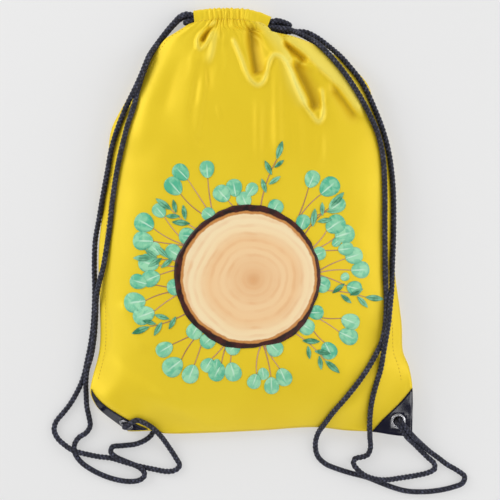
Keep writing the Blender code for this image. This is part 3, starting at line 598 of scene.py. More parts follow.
# %% Corner triangles
def patch_lines(last, margin):
    """Even lines from the margin to the long side's end, and a few spare ones past it."""
    lines = line_shares((last, PATCH_CELLS))
    lines += [last * (1 + i / PATCH_CELLS) for i in range(1, SPARE_CELLS + 1)]
    return [margin + value * (1 - margin / last) for value in lines]


def corner_patch(name, point, relief, outward, side):
    on_right, count = side == "right", PATCH_CELLS + SPARE_CELLS
    last, margin = (RIGHT_PATCH_SHARE, 0.0) if on_right else (LEFT_PATCH_SHARE, 0.006)
    lines, rises = patch_lines(last, margin), patch_lines(PATCH_RISE, margin * 0.7)
    if on_right:
        lines = [1 - value for value in reversed(lines)]
    bm, column, row = cloth_grid(point, lines, rises, relief)

    def steps(vert):
        return (count - vert[column] if on_right else vert[column]) + vert[row]

    for face in list(bm.faces):
        ends = [v for v in face.verts if steps(v) == PATCH_CELLS]
        if len(ends) == 2:
            bmesh.utils.face_split(face, *ends)
    for vert in bm.verts:
        vert.co += vert.normal * outward * (FABRIC / 2 + GAP + PATCH / 2) * MM
    bmesh.ops.delete(bm, geom=[v for v in bm.verts if steps(v) > PATCH_CELLS], context="VERTS")
    pierce(bm, EYELETS[side][0])
    if outward < 0:
        bmesh.ops.reverse_faces(bm, faces=bm.faces)
    made = wall(piece(name, bm), PATCH)
    edge = made.modifiers.new("edge", "BEVEL")
    edge.width, edge.segments, edge.limit_method, edge.angle_limit = 0.22 * MM, 2, "ANGLE", 0.9
    return made


patches = {}
for side in EYELETS:
    patches[f"{side}_corner_patch_front"] = corner_patch(
        f"{side}_sheet_front", front_point, cloth_relief, 1.0, side)
    patches[f"{side}_corner_patch_back"] = corner_patch(
        f"{side}_sheet_back", back_point, back_relief, -1.0, side)

# %% [markdown]
# ## The sleeves
# A drawstring needs a tunnel to run in: the panel's top is folded over and stitched down. Drawn
# shut, it becomes a flattened tube with puckers all round. A grid is wrapped round the sleeve's
# line, its first and last columns are merged, and the gathers swell it.

# %% Sleeves at the mouth
SLEEVE_LENGTHWISE, SLEEVE_POINTS = 150, 48


def sleeve(name, height, swell_up, swell_down):
    bm = bmesh.new()
    bmesh.ops.create_grid(bm, x_segments=SLEEVE_POINTS, y_segments=SLEEVE_LENGTHWISE, size=0.5)
    flat = bm.loops.layers.uv.new("cloth")
    for face in bm.faces:
        for loop in face.loops:
            loop[flat].uv = ((loop.vert.co.y + 0.5) * CUT[0], (loop.vert.co.x + 0.5) * 0.04)
    full = 2.0 / 3.0
    for vert in bm.verts:
        angle = -math.tau * round((vert.co.x + 0.5) * SLEEVE_POINTS) / SLEEVE_POINTS
        share = round((vert.co.y + 0.5) * SLEEVE_LENGTHWISE) / SLEEVE_LENGTHWISE
        middle, across = sleeve_frame(share)
        wide = math.copysign(abs(math.cos(angle)) ** full, math.cos(angle))
        high = math.copysign(abs(math.sin(angle)) ** full, math.sin(angle))
        swell = gathers(share, (1 - wide) * SLEEVE_DEPTH / 2)
        rim = 1.0 + 0.16 * (swell - 0.35) * max(wide, 0.0)
        place = middle + across * wide * rim * SLEEVE_DEPTH / 2
        lift = high * SLEEVE_THICKNESS / 2 + high * swell * (swell_up if high > 0 else swell_down)
        vert.co = Vector((place.x, place.y, height + lift)) * MM
    bmesh.ops.remove_doubles(bm, verts=bm.verts, dist=0.00001)
    bmesh.ops.recalc_face_normals(bm, faces=bm.faces)
    return wall(piece(name, bm), FABRIC, -1.0)


front_sleeve = sleeve("gathered_sleeve_front", FRONT_SLEEVE_HEIGHT, 1.9, 0.3)
back_sleeve = sleeve("gathered_sleeve_back", BACK_SLEEVE_HEIGHT, 0.4, 0.7)

# %% [markdown]
# ## The eyelets
# An eyelet is pressed from sheet metal: a domed flange on the front, a barrel through the layers,
# and a washer behind that the barrel's end is rolled over. Both are solids of revolution, so a
# closed profile is spun about the axis and its hard edges are bevelled.


# %% Eyelets and washers
def turned(name, profile, frame_of_eyelet, steps=56):
    bm = bmesh.new()
    verts = [bm.verts.new(Vector((radius, 0, height)) * MM) for radius, height in profile]
    edges = [bm.edges.new(pair) for pair in zip(verts, verts[1:] + verts[:1])]
    bmesh.ops.spin(bm, geom=verts + edges, cent=(0, 0, 0), axis=(0, 0, 1), angle=math.tau,
                   steps=steps, use_merge=True)
    bmesh.ops.remove_doubles(bm, verts=bm.verts, dist=0.000001)
    bmesh.ops.recalc_face_normals(bm, faces=bm.faces)
    hard = [e for e in bm.edges if len(e.link_faces) == 2 and e.calc_face_angle() > 0.6]
    bmesh.ops.bevel(bm, geom=hard, offset=0.14 * MM, offset_type="OFFSET", affect="EDGES",
                    segments=2, profile=0.5, material=-1)
    bmesh.ops.transform(bm, matrix=frame_of_eyelet, verts=bm.verts)
    return piece(name, bm)


metalwork = {}
for side, (frame_of_eyelet, slack) in EYELETS.items():
    top = STACK / 2 + GAP
    under = -STACK / 2 - GAP - slack
    end = under - METAL - GAP
    barrel = [
        (BORE, top + 0.25), (BORE + 0.25, top + 0.75), (BORE + 0.8, top + METAL),
        (6.2, top + METAL + 0.05), (EYELET_FLANGE - 0.7, top + 0.72),
        (EYELET_FLANGE - 0.1, top + 0.3), (EYELET_FLANGE, top),
        (BARREL, top), (BARREL, end), (LIP, end), (LIP, end - 0.4), (LIP - 0.3, end - 0.7),
        (BORE + 0.3, end - 0.7), (BORE, end - 0.4),
    ]
    washer = [
        (HOLE, under), (EYELET_FLANGE, under), (EYELET_FLANGE, under - METAL / 2),
        (EYELET_FLANGE - 0.5, under - METAL), (HOLE, under - METAL),
    ]
    metalwork[f"{side}_eyelet"] = turned(f"{side}_rolled_eyelet", barrel, frame_of_eyelet)
    metalwork[f"{side}_eyelet_washer"] = turned(f"{side}_pressed_washer", washer, frame_of_eyelet)

# %% [markdown]
# ## A braided tube
# The cord is a round braid of six bundles: three wind one way, three the other, and they pass over
# and under each other in turn. Up close the bundles are what one sees, so they are real relief.
# A tube is wrapped from a grid along the cord's path, and each point's distance from the middle
# follows the bundle that is on top there. The same number, kept as the attribute crown, lets the
# material paint shade into the grooves between them and paint their crowns lighter.

# %% Braid and tube
CORD = 5.0
MEAN_RADIUS = CORD / 2 - 0.12
BUNDLES, BRAID_PITCH, BRAID_RELIEF = 3, 3.9, 1.15
TUBE_POINTS, TUBE_STEP = 24, 0.8


def braid(turn, run):
    """How high the bundle on top stands at a place on the cord, 0 to 1."""
    first, second = BUNDLES * turn + run / BRAID_PITCH, BUNDLES * turn - run / BRAID_PITCH
    over, along = first % 1.0, second % 1.0
    if (math.floor(first) + math.floor(second)) % 2:
        over, along = along, over
    return math.sqrt(max(1 - (2 * over - 1) ** 2, 0.0)) * (1 - 0.55 * (2 * along - 1) ** 4)


def tube_rings(centres):
    """Two directions square to the path at each centre, carried along it without a twist."""
    side, rings = None, []
    for index, centre in enumerate(centres):
        ahead = (centres[min(index + 1, len(centres) - 1)] - centres[max(index - 1, 0)]).normalized()
        side = ahead.orthogonal() if side is None else side - ahead * side.dot(ahead)
        side.normalize()
        rings.append((centre, side.copy(), ahead.cross(side)))
    return rings


def braided_tube(name, centres, radius_at):
    """A braided tube along centres, in metres. Radius_at(index) is its mean radius in millimetres."""
    rings = tube_rings(centres)
    runs = [0.0]
    for before, after in zip(centres, centres[1:]):
        runs.append(runs[-1] + (after - before).length / MM)
    bm = bmesh.new()
    bmesh.ops.create_grid(bm, x_segments=TUBE_POINTS, y_segments=len(rings) - 1, size=0.5)
    turn_layer = line_layer(bm, "turn", 0, TUBE_POINTS)
    ring_layer = line_layer(bm, "ring", 1, len(rings) - 1)
    crown = bm.verts.layers.float.new("crown")
    flat = bm.loops.layers.uv.new("cord")
    for face in bm.faces:
        for loop in face.loops:
            loop[flat].uv = (loop.vert[turn_layer] / TUBE_POINTS * math.pi * CORD * MM,
                             runs[loop.vert[ring_layer]] * MM)
    for vert in bm.verts:
        turn, index = vert[turn_layer] / TUBE_POINTS, vert[ring_layer]
        centre, side, rise = rings[index]
        vert[crown] = braid(turn, runs[index])
        radius = radius_at(index) + BRAID_RELIEF * (vert[crown] - 0.62)
        angle = math.tau * turn
        vert.co = centre + (side * math.cos(angle) + rise * math.sin(angle)) * radius * MM
    bmesh.ops.remove_doubles(bm, verts=bm.verts, dist=0.00001)
    ends = [e for e in bm.edges if e.is_boundary]
    bmesh.ops.holes_fill(bm, edges=ends, sides=0)
    bmesh.ops.recalc_face_normals(bm, faces=bm.faces)
    return piece(name, bm)


# %% [markdown]
# ## The knots
# A plain overhand knot keeps each cord's ends behind its eyelet. Its centreline is the trefoil, the
# simplest closed curve that is knotted, pressed together until the strands touch. The same braided
# tube follows it.

# %% Knots under the corners
KNOT = (12.5, 11.0, 8.4)
KNOT_STEPS = 150
knots = {}
for side, (frame_of_eyelet, slack) in EYELETS.items():
    drop = STACK / 2 + METAL + 3 * GAP + 0.7 + KNOT[2] / 2 + slack
    reach = [(size - CORD * 0.86) / 2 for size in KNOT]
    loop = []
    for i in range(KNOT_STEPS + 1):
        a = math.tau * i / KNOT_STEPS
        local = Vector(((math.sin(a) + 2 * math.sin(2 * a)) / 3 * reach[0],
                        (math.cos(a) - 2 * math.cos(2 * a)) / 3 * reach[1],
                        -math.sin(3 * a) * reach[2] - drop))
        loop.append(frame_of_eyelet @ (local * MM))
    knots[side] = braided_tube(f"{side}_overhand_knot", loop, lambda index: CORD * 0.4)

# %% [markdown]
# ## The cords' way
# A cord is a fixed length of something limp, so its route comes first. Each is a list of places it
# passes, and a third number lifts a strand that crosses another one. Where it lies free, rays are
# cast down over its whole width to find what it rests on, and then its height is smoothed, always
# staying above that. Physics would let it slide off, and it would not cross where it should.

# %% What the cords lie on
CORD_IN_SLEEVE, CORD_IN_EYELET, CORD_SQUEEZE, CROSSING = 2.75, 2.15, 0.8, 5.8
CLEARANCE = 0.12
LYING, HELD, UNDER = "lying", "held", "under"


def tree_of(objects):
    """All these objects' final meshes as one tree that rays can be cast into."""
    graph = bpy.context.evaluated_depsgraph_get()
    bm = bmesh.new()
    for made in objects:
        bm.from_mesh(made.evaluated_get(graph).to_mesh())
    tree = BVHTree.FromBMesh(bm)
    bm.free()
    return tree


bpy.context.view_layer.update()
GROUND = tree_of([front, back, front_sleeve, back_sleeve, *patches.values(), *metalwork.values()])
DOWN, ABOVE = Vector((0, 0, -1)), 90.0


@functools.lru_cache(maxsize=None)
def ground_height(x, y):
    """The lowest height of a cord's middle over a place, in millimetres."""
    reach = CORD / 2
    best = reach + 0.15
    for ring_share, count in ((0.0, 1), (0.45, 6), (0.8, 10), (1.02, 14)):
        off = reach * ring_share
        clear = math.sqrt(max(reach**2 - off**2, 0.0))
        for i in range(count):
            angle = math.tau * i / count
            start = Vector((x + off * math.cos(angle), y + off * math.sin(angle), ABOVE)) * MM
            hit = GROUND.ray_cast(start, DOWN)[0]
            if hit:
                best = max(best, hit.z / MM + clear + CLEARANCE)
    return best


def lying(*points):
    """Points (x, y) or (x, y, lift) that rest on what is under them."""
    return [Vector((p[0], p[1], ground_height(p[0], p[1]) + (p[2] if len(p) > 2 else 0.0)))
            for p in points]


def held(*points):
    """Points at heights of their own, where the cord is held."""
    return [Vector(point) for point in points]


def settle(curve, floor, passes=30):
    """Rounds a route up and down, and keeps it clear of what is under it. Held points stay."""
    for _ in range(passes):
        heights = [p.z for p in curve]
        for i in range(1, len(curve) - 1):
            if floor[i] is not None:
                mean = (heights[i - 1] + 2 * heights[i] + heights[i + 1]) / 4
                curve[i].z = max(mean, floor[i])


def settled(stretches):
    """Stretches are (points, how) pairs, end to end. Gives the cord's centreline, in millimetres."""
    route = [point for points, _ in stretches for point in points]
    lies = [how for points, how in stretches for _ in points]
    curve, owner = smooth_curve(route, 3.0)
    ends = [set(lies[int(u):int(u) + 2]) for u in owner]
    floor = [ground_height(p.x, p.y) if LYING in pair and UNDER not in pair else None
             for p, pair in zip(curve, ends)]
    lifts = [max(point.z - ground_height(point.x, point.y), 0.0) if how == LYING else 0.0
             for point, how in zip(route, lies)] + [0.0]
    floor = [None if low is None else low + lifts[int(u)] * (1 - u % 1) + lifts[int(u) + 1] * (u % 1)
             for low, u in zip(floor, owner)]
    settle(curve, floor)
    return smooth_curve(curve, TUBE_STEP)[0]


def in_sleeve(height, across_share, towards_right):
    """A cord's run through a sleeve."""
    stations = [-0.02, 0.03, 0.12, 0.28, 0.44, 0.6, 0.76, 0.88, 0.97, 1.02]
    run = []
    for share in (stations if towards_right else reversed(stations)):
        middle, across = sleeve_frame(share)
        place = middle + across * across_share
        run.append(Vector((place.x, place.y, height)))
    return run


def out_of_eyelet(frame_of_eyelet, aside, *heights):
    """Points on a line beside the eyelet's axis, at heights over the middle of its layers."""
    matrix, centre = frame_of_eyelet.to_3x3(), frame_of_eyelet.translation / MM
    return [centre + matrix @ Vector((0, 0, height)) + aside for height in heights]


def near_eyelet(frame_of_eyelet, *places):
    """Points given in millimetres from the eyelet's middle, along its own axes."""
    return [(frame_of_eyelet @ (Vector(place) * MM)) / MM for place in places]


print("ground under the cords is ready")

# %% [markdown]
# The left cord comes out of its eyelet, loops below the corner, climbs the bag's left side, goes
# through the front sleeve, turns back through the rear one and comes down again on the inside.

# %% The left cord's route
BELOW = -(STACK / 2 + METAL + 2 * GAP + 0.7)
left_out = near_eyelet(LEFT, (0, 0, BELOW - 1.2), (0, 0, 0), (0, 0, 5.2), (0.6, 4.6, 7.5),
                       (2.5, 10.0, 7.0))
left_outer = lying(
    (-112.5, -192.9), (-105.0, -195.8), (-97.0, -201.7), (-90.4, -209.4), (-82.5, -221.7),
    (-74.7, -234.4), (-71.6, -241.0), (-76.2, -245.8), (-84.1, -247.0), (-98.1, -244.6),
    (-113.8, -241.3), (-127.8, -237.2), (-140.3, -233.6), (-152.0, -232.2), (-163.8, -229.5),
    (-175.8, -225.6, CROSSING), (-184.0, -221.2, 2.0), (-192.7, -213.8), (-196.4, -205.4),
    (-194.2, -197.0), (-188.7, -190.3), (-180.9, -180.5), (-173.2, -167.3), (-167.5, -154.0),
    (-163.4, -136.4), (-160.2, -120.7), (-157.9, -105.0), (-156.5, -85.0), (-156.0, -65.0),
    (-156.4, -42.3), (-155.4, -18.0), (-150.6, 6.0), (-146.6, 27.7), (-142.2, 50.0),
    (-137.6, 74.0), (-130.9, 94.5), (-124.0, 111.5), (-119.6, 120.5, 3.0))
left_outer += lying((-114.8, 129.5, CROSSING), (-108.6, 143.4, CROSSING),
                    (-98.9, 167.4, CROSSING), (-88.0, 184.2, CROSSING + 0.5))
left_front_in = held((-77.0, 197.2, 11.5), (-70.0, 203.0, 16.2), (-63.5, 204.9, 18.2))
left_bight = held((25.0, 198.5, FRONT_SLEEVE_HEIGHT - 0.5), (34.0, 196.5, 15.4),
                  (37.6, 195.2, 11.0), (34.0, 196.5, 6.2), (25.0, 198.5, BACK_SLEEVE_HEIGHT))
left_back_out = held((-63.5, 204.9, 4.8), (-70.0, 203.0, 4.2), (-77.0, 197.2, 3.4))
left_inner = lying(
    (-88.0, 184.2), (-98.9, 167.4), (-108.0, 143.0), (-112.2, 128.2), (-115.2, 113.5),
    (-120.8, 96.4), (-125.2, 80.0), (-129.6, 62.0), (-133.6, 41.0), (-136.6, 19.0),
    (-139.0, -3.1), (-142.2, -24.0), (-145.4, -42.0))
left_inner += lying(
    (-150.2, -60.0, 2.0), (-153.2, -76.0, CROSSING), (-154.4, -94.0, CROSSING),
    (-155.9, -114.0, CROSSING), (-159.0, -132.5, CROSSING), (-162.8, -145.2, CROSSING),
    (-164.4, -158.0, 3.0), (-164.4, -170.0), (-163.8, -182.5), (-161.6, -193.3),
    (-160.6, -201.7), (-164.5, -208.4), (-172.0, -213.4), (-176.3, -220.8), (-175.5, -229.2),
    (-169.4, -237.8), (-159.1, -245.2), (-146.6, -251.3), (-134.1, -255.2), (-121.5, -256.9),
    (-111.0, -255.2), (-106.3, -250.4), (-108.2, -244.9, 3.0), (-114.5, -240.2, CROSSING),
    (-123.5, -236.4, CROSSING), (-133.5, -232.0, CROSSING), (-139.6, -227.0, 2.0),
    (-138.4, -222.3), (-128.8, -221.2), (-115.3, -219.7), (-105.9, -215.8),
    (-99.2, -210.0))
left_under = held((-97.5, -203.0, 2.9), (-101.5, -195.0, 4.0), (-106.0, -191.0, 6.4))
left_path = settled([
    (left_out, HELD), (left_outer, LYING), (left_front_in, HELD),
    (in_sleeve(FRONT_SLEEVE_HEIGHT, CORD_IN_SLEEVE, True), HELD), (left_bight, HELD),
    (in_sleeve(BACK_SLEEVE_HEIGHT, CORD_IN_SLEEVE, False), HELD), (left_back_out, HELD),
    (left_inner, LYING), (left_under, UNDER),
])
print("left cord has", len(left_path), "rings")

# %% [markdown]
# The right cord is the same the other way round. Both of its ends go through the right eyelet, side
# by side and squeezed, so that is where it starts and stops.

# %% The right cord's route
heading = Vector((0.6, -0.8, 0.0))
beside = Vector((0.8, 0.6, 0.0)) * CORD_IN_EYELET


def over_flange(aside):
    """A squeezed strand, up through the bore and away over the flange."""
    return out_of_eyelet(RIGHT, aside, BELOW, 0.0, 2.4, 4.6) + [
        out_of_eyelet(RIGHT, aside + heading * reach, rise)[0]
        for reach, rise in ((2.2, 6.7), (8.4, 7.3))]


right_out = over_flange(-beside)
right_outer = lying(
    (152.0, -209.6), (160.6, -218.4), (167.5, -225.4), (175.6, -233.4), (181.4, -238.8),
    (182.2, -244.0), (176.6, -247.8), (164.1, -250.9), (148.4, -253.2), (135.5, -254.6, 2.0),
    (124.5, -253.8, CROSSING), (112.5, -250.0, CROSSING), (104.7, -243.8, CROSSING), (101.0, -238.0),
    (102.6, -234.0), (109.4, -232.4), (115.2, -230.2), (118.0, -222.6), (117.2, -214.0),
    (115.8, -201.7), (116.0, -186.0), (117.6, -170.7), (121.0, -156.0), (125.3, -142.3),
    (127.8, -128.0, 1.0), (130.2, -113.0, CROSSING), (132.9, -97.2, CROSSING),
    (134.8, -81.5, CROSSING), (137.2, -63.0, 2.5), (138.4, -42.0), (139.6, -20.0),
    (140.0, 5.0), (139.6, 31.2), (138.0, 51.0), (135.3, 69.4), (132.0, 83.0),
    (127.6, 96.9), (121.4, 111.9), (114.6, 126.6), (106.6, 140.4), (97.6, 152.1),
    (86.4, 165.4), (75.6, 176.2), (65.2, 184.4))
right_under = held((54.0, 189.8, 3.0), (42.0, 190.4, 3.4), (29.0, 190.0, 4.4))
right_bight = held((-61.0, 197.9, 5.6), (-64.4, 197.7, 8.6), (-65.2, 197.6, 11.8),
                   (-64.4, 197.7, 15.0), (-61.0, 197.9, 18.0))
right_over = held((26.0, 191.2, FRONT_SLEEVE_HEIGHT + 0.6), (38.0, 189.4, FRONT_SLEEVE_HEIGHT + 0.8))
right_inner = lying(
    (48.5, 186.6), (58.8, 180.8), (68.4, 172.8), (80.6, 159.4), (91.4, 145.4),
    (100.7, 131.7), (109.6, 117.3), (117.2, 103.0), (123.3, 89.3), (127.2, 74.8),
    (129.4, 59.0), (130.4, 31.2), (130.4, 0.0), (130.6, -26.7), (131.0, -58.0),
    (131.8, -73.7), (131.0, -92.3), (129.5, -105.0), (126.4, -116.8), (121.9, -125.7),
    (113.6, -139.9), (103.1, -155.0), (92.2, -168.8), (81.2, -182.5), (71.9, -197.2),
    (65.4, -209.4), (63.3, -220.4), (65.7, -231.5), (73.4, -239.3), (85.9, -244.6),
    (98.4, -248.5), (114.1, -252.6), (128.1, -258.1), (142.2, -263.4), (154.7, -266.5),
    (170.3, -267.2), (185.9, -265.8), (200.1, -262.6), (209.8, -258.5), (211.8, -252.0),
    (204.9, -246.2), (194.2, -239.9), (185.4, -233.2), (176.0, -226.2), (166.6, -217.6),
    (157.4, -208.2, 1.0))
right_in = list(reversed(over_flange(beside)))
right_path = settled([
    (right_out, HELD), (right_outer, LYING), (right_under, UNDER),
    (in_sleeve(BACK_SLEEVE_HEIGHT, -CORD_IN_SLEEVE, False), HELD), (right_bight, HELD),
    (in_sleeve(FRONT_SLEEVE_HEIGHT, -CORD_IN_SLEEVE, True), HELD), (right_over, HELD),
    (right_inner, LYING), (right_in, HELD),
])
print("right cord has", len(right_path), "rings")

# %% [markdown]
# With a route settled, the braided tube follows it. A real cord of this kind is five millimetres
# thick, limp, lying loose, of a given length, with its knot.


def cord_piece(side, path, squeezed_at=None):
    def radius_at(index):
        if squeezed_at is None:
            return MEAN_RADIUS
        away = (path[index] - squeezed_at).length
        return MEAN_RADIUS * (CORD_SQUEEZE + (1 - CORD_SQUEEZE) * smooth_step((away - 8.5) / 6.0))

    centres = [place * MM for place in path]
    made = braided_tube(f"{side}_braided_cord", centres, radius_at)
    length = sum((b - a).length for a, b in zip(centres, centres[1:]))
    print(f"{made.name}: {length:.3f} m")
    return made


left_cord = cord_piece("left", left_path)
right_cord = cord_piece("right", right_path, RIGHT.translation / MM)

# %% [markdown]
# ## Stitching
# A lockstitch shows as a row of short, slightly sunk dashes. Each is a small stretched
# icosphere, laid along the seam on the cloth that a ray finds there. Being repeated hundreds of
# times, it is only twenty faces.

# %% Rows of stitches
STITCH, STITCH_GAP = 2.3, 1.0
FRONT_TREE = tree_of([front, front_sleeve])


def stitch_row(name, places, tree=FRONT_TREE, upwards=False):
    """Dashes along places (x, y) in millimetres, on the outside of what the tree holds."""
    line = smooth_curve([Vector(p) for p in places], 0.5)[0]
    start_z, heading = (-0.02, Vector((0, 0, 1))) if upwards else (0.09, DOWN)
    bm = bmesh.new()
    run, last = 0.0, 0
    for i in range(1, len(line)):
        run += (line[i] - line[i - 1]).length
        if run < STITCH + STITCH_GAP:
            continue
        middle = (line[i] + line[last]) / 2
        direction = (line[i] - line[last]).normalized()
        run, last = 0.0, i
        hit, normal, _, _ = tree.ray_cast(Vector((middle.x * MM, middle.y * MM, start_z)), heading)
        if hit is None:
            continue
        normal = normal if normal.dot(heading) < 0 else -normal
        along = Vector((direction.x, direction.y, 0))
        along = (along - normal * along.dot(normal)).normalized()
        turn = Matrix((along, normal.cross(along), normal)).transposed().to_4x4()
        size = Matrix.Diagonal((STITCH * MM, 0.75 * MM, 0.55 * MM, 1.0))
        bmesh.ops.create_icosphere(bm, subdivisions=1, radius=0.5,
                                   matrix=Matrix.Translation(hit + normal * 0.0001) @ turn @ size)
    return piece(name, bm)


def seam_row(s):
    return [plan(s, PATCH_RISE + 0.02 + i * (0.955 - PATCH_RISE) / 60) for i in range(61)]


def sleeve_row():
    return [sleeve_frame(i / 40)[0] - sleeve_frame(i / 40)[1] * (SLEEVE_DEPTH / 2 - 2.6)
            for i in range(1, 40)]


stitching = {
    "left_side_stitching": stitch_row("left_seam_stitches", seam_row(LEFT_PATCH_SHARE / 4)),
    "right_side_stitching": stitch_row("right_seam_stitches", seam_row(1 - RIGHT_PATCH_SHARE / 4)),
    "front_casing_stitching": stitch_row("front_sleeve_stitches", sleeve_row()),
    "back_casing_stitching": stitch_row("back_sleeve_stitches", sleeve_row(),
                                        tree_of([back_sleeve]), True),
}

# %% [markdown]
# ## The print
# The front carries a printed motif: here a plain slice of wood in a loose wreath of round and slim
# leaves, without any words. Ink is a very thin layer on the cloth, so each shape is a small grid in
# the shape of what it shows, set down on the panel by rays and given a hair of thickness. That
# keeps its outline crisp, where painting the panel's coarse points would blur it.

# %% Laying ink on the front
PRINT_CENTRE = Vector((-3.0, -53.0))
SLICE_RADIUS = Vector((71.0, 68.5))
PANEL_TREE = tree_of([front])
ink = random.Random(20)


def on_cloth(x, y, lift):
    """The place on the front panel under x and y, raised by lift, all in millimetres."""
    hit = PANEL_TREE.ray_cast(Vector((x, y, ABOVE)) * MM, DOWN)[0]
    return Vector((x * MM, y * MM, hit.z + lift * MM))


def ink_grid(bm, along, across, shape, lift, tone=None):
    """Adds a grid laid at shape(u, v) on the cloth, with u and v from 0 to 1."""
    made = bmesh.ops.create_grid(bm, x_segments=along, y_segments=across, size=0.5, calc_uvs=True)
    layer = bm.verts.layers.float.get("tone") or bm.verts.layers.float.new("tone")
    verts = list(made["verts"])
    for vert in verts:
        x, y = shape(vert.co.x + 0.5, vert.co.y + 0.5)
        vert.co = on_cloth(x, y, lift)
        vert[layer] = tone or 0.0
    bmesh.ops.remove_doubles(bm, verts=verts, dist=0.00002)


def ink_piece(name, bm):
    bm.normal_update()
    down = [f for f in bm.faces if f.normal.z < 0]
    bmesh.ops.reverse_faces(bm, faces=down)
    return wall(piece(name, bm), 0.04, -1.0)


def new_ink():
    bm = bmesh.new()
    bm.loops.layers.uv.new("ink")
    bm.verts.layers.float.new("tone")
    return bm


round_ink, slim_ink, twig_ink = new_ink(), new_ink(), new_ink()
leaf_count = [0, 0]
TWIG_LIFT, ROUND_LIFT, SLIM_LIFT, SLICE_LIFT = 0.22, 0.30, 0.60, 0.78


def leaf(stalk, heading, length, width, slim):
    """A leaf from the end of its stalk. Round ones follow a circle and slim ones come to a point."""
    ahead = Vector((math.cos(heading), math.sin(heading)))
    aside = Vector((-ahead.y, ahead.x))
    leaf_count[slim] += 1

    def shape(u, v):
        u = (1 - math.cos(math.pi * u)) / 2
        half = width / 2 * (math.sin(math.pi * u) ** 0.9 if slim else
                            2 * math.sqrt(max(u * (1 - u), 0.0)) * (0.84 + 0.32 * u))
        place = stalk + ahead * u * length + aside * (2 * v - 1) * half
        return place.x, place.y

    # leaves that overlap lie a hair apart
    lowest, levels = (SLIM_LIFT, 4) if slim else (ROUND_LIFT, 9)
    lift = lowest + 0.03 * (leaf_count[slim] % levels)
    ink_grid(slim_ink if slim else round_ink, 10, 4, shape, lift, ink.random())


def twig(start, end, bend, width):
    """A stalk as a narrow ribbon, bent sideways."""
    chord = end - start
    aside = Vector((-chord.y, chord.x))

    def shape(u, v):
        place = start + chord * u + aside * bend * 4 * u * (1 - u)
        place += aside.normalized() * (v - 0.5) * width * (1.15 - 0.4 * u)
        return place.x, place.y

    ink_grid(twig_ink, max(int(chord.length / 2.5), 3), 1, shape, TWIG_LIFT, ink.random())


# %% [markdown]
# A wreath looks alive when its sprays differ but keep one rhythm. Every spray starts behind the
# slice and forks: round leaves end each twig in turn, or slim leaves sit in pairs along one stalk.
# All the sizes come from a seeded draw, so the wreath is the same each time it is made.


# %% The wreath
SPRAY_ROOT = 64.0


def spot(angle, radius):
    return PRINT_CENTRE + Vector((math.cos(angle), math.sin(angle))) * radius


def round_spray(angle, reach, fork):
    root = spot(angle, SPRAY_ROOT)
    for offset, share in ((-fork, 0.80), (fork * 0.1, 1.0), (fork * 0.95, 0.86)):
        size = ink.uniform(17.0, 22.0) * (0.82 if share < 0.83 else 1.0)
        tip = spot(angle + offset * 0.42, 66.0 + (reach - 66.0 - size) * share)
        twig(root, tip, ink.uniform(-0.08, 0.08), 1.1)
        heading = math.atan2(tip.y - root.y, tip.x - root.x) + ink.uniform(-0.25, 0.25)
        leaf(tip, heading, size, size * ink.uniform(0.80, 0.94), 0)
    if ink.random() < 0.6:
        size = ink.uniform(8.0, 12.5)
        side = spot(angle + fork * ink.choice((-0.2, 0.24)), 70.0 + (reach - 70.0) * 0.4)
        leaf(side, angle + ink.uniform(-0.5, 0.5), size, size * 0.92, 0)


def slim_spray(angle, reach, lean):
    root = spot(angle, SPRAY_ROOT)
    tip = spot(angle + lean, reach - 13.0)
    twig(root, tip, 0.05, 1.0)
    heading = math.atan2(tip.y - root.y, tip.x - root.x)
    leaf(tip, heading, 19.0, 6.2, 1)
    for share, side in ((0.36, 1), (0.52, -1), (0.70, 1), (0.84, -1)):
        size = ink.uniform(14.0, 19.0) * (1.1 - 0.3 * share)
        leaf(root.lerp(tip, share), heading + side * ink.uniform(0.55, 0.8), size, size * 0.33, 1)


ROUND_SPRAYS = [      # turn in degrees, reach from the middle, half the fork's angle
    (48, 128, 0.36), (24, 112, 0.30), (3, 118, 0.34), (-32, 122, 0.36), (-78, 116, 0.30),
    (-108, 106, 0.26), (-130, 124, 0.36), (-168, 124, 0.34), (172, 108, 0.28), (152, 124, 0.32),
    (121, 130, 0.36), (98, 96, 0.30),
]
SLIM_SPRAYS = [(80, 130, -0.06), (36, 118, 0.08), (-12, 128, 0.04), (-52, 122, 0.08),
               (-150, 120, -0.06), (163, 108, 0.10), (136, 112, 0.05)]
for turn, reach, fork in ROUND_SPRAYS:
    round_spray(math.radians(turn), reach, fork)
for turn, reach, lean in SLIM_SPRAYS:
    slim_spray(math.radians(turn), reach, lean)
for index in range(15):
    size = ink.uniform(14.0, 18.0)
    angle = math.tau * (index + ink.uniform(-0.3, 0.3)) / 15
    leaf(spot(angle, SPRAY_ROOT + ink.uniform(-2.0, 4.0)), angle + ink.uniform(-0.6, 0.6),
         size, size * 0.9, 0)

round_leaves = ink_piece("print_round_leaves", round_ink)
slim_leaves = ink_piece("print_slim_leaves", slim_ink)
twigs = ink_piece("print_twigs", twig_ink)
print(leaf_count[0], "round leaves and", leaf_count[1], "slim ones")

# %% [markdown]
# The slice of wood is a disc from a grid wrapped round its middle: rings by spokes, so that the
# growth rings and the bark can follow the distance from the middle. Bark is never a true circle.

# %% The slice of wood
slice_ink = new_ink()


def slice_shape(u, v):
    angle = math.tau * u
    edge = 1.0 + 0.045 * noise.noise(Vector((1.6 * math.cos(angle), 1.6 * math.sin(angle), 0.0)))
    edge += 0.016 * noise.noise(Vector((7.0 * math.cos(angle), 7.0 * math.sin(angle), 4.0)))
    edge *= v
    return (PRINT_CENTRE.x + math.cos(angle) * SLICE_RADIUS.x * edge,
            PRINT_CENTRE.y + math.sin(angle) * SLICE_RADIUS.y * edge)


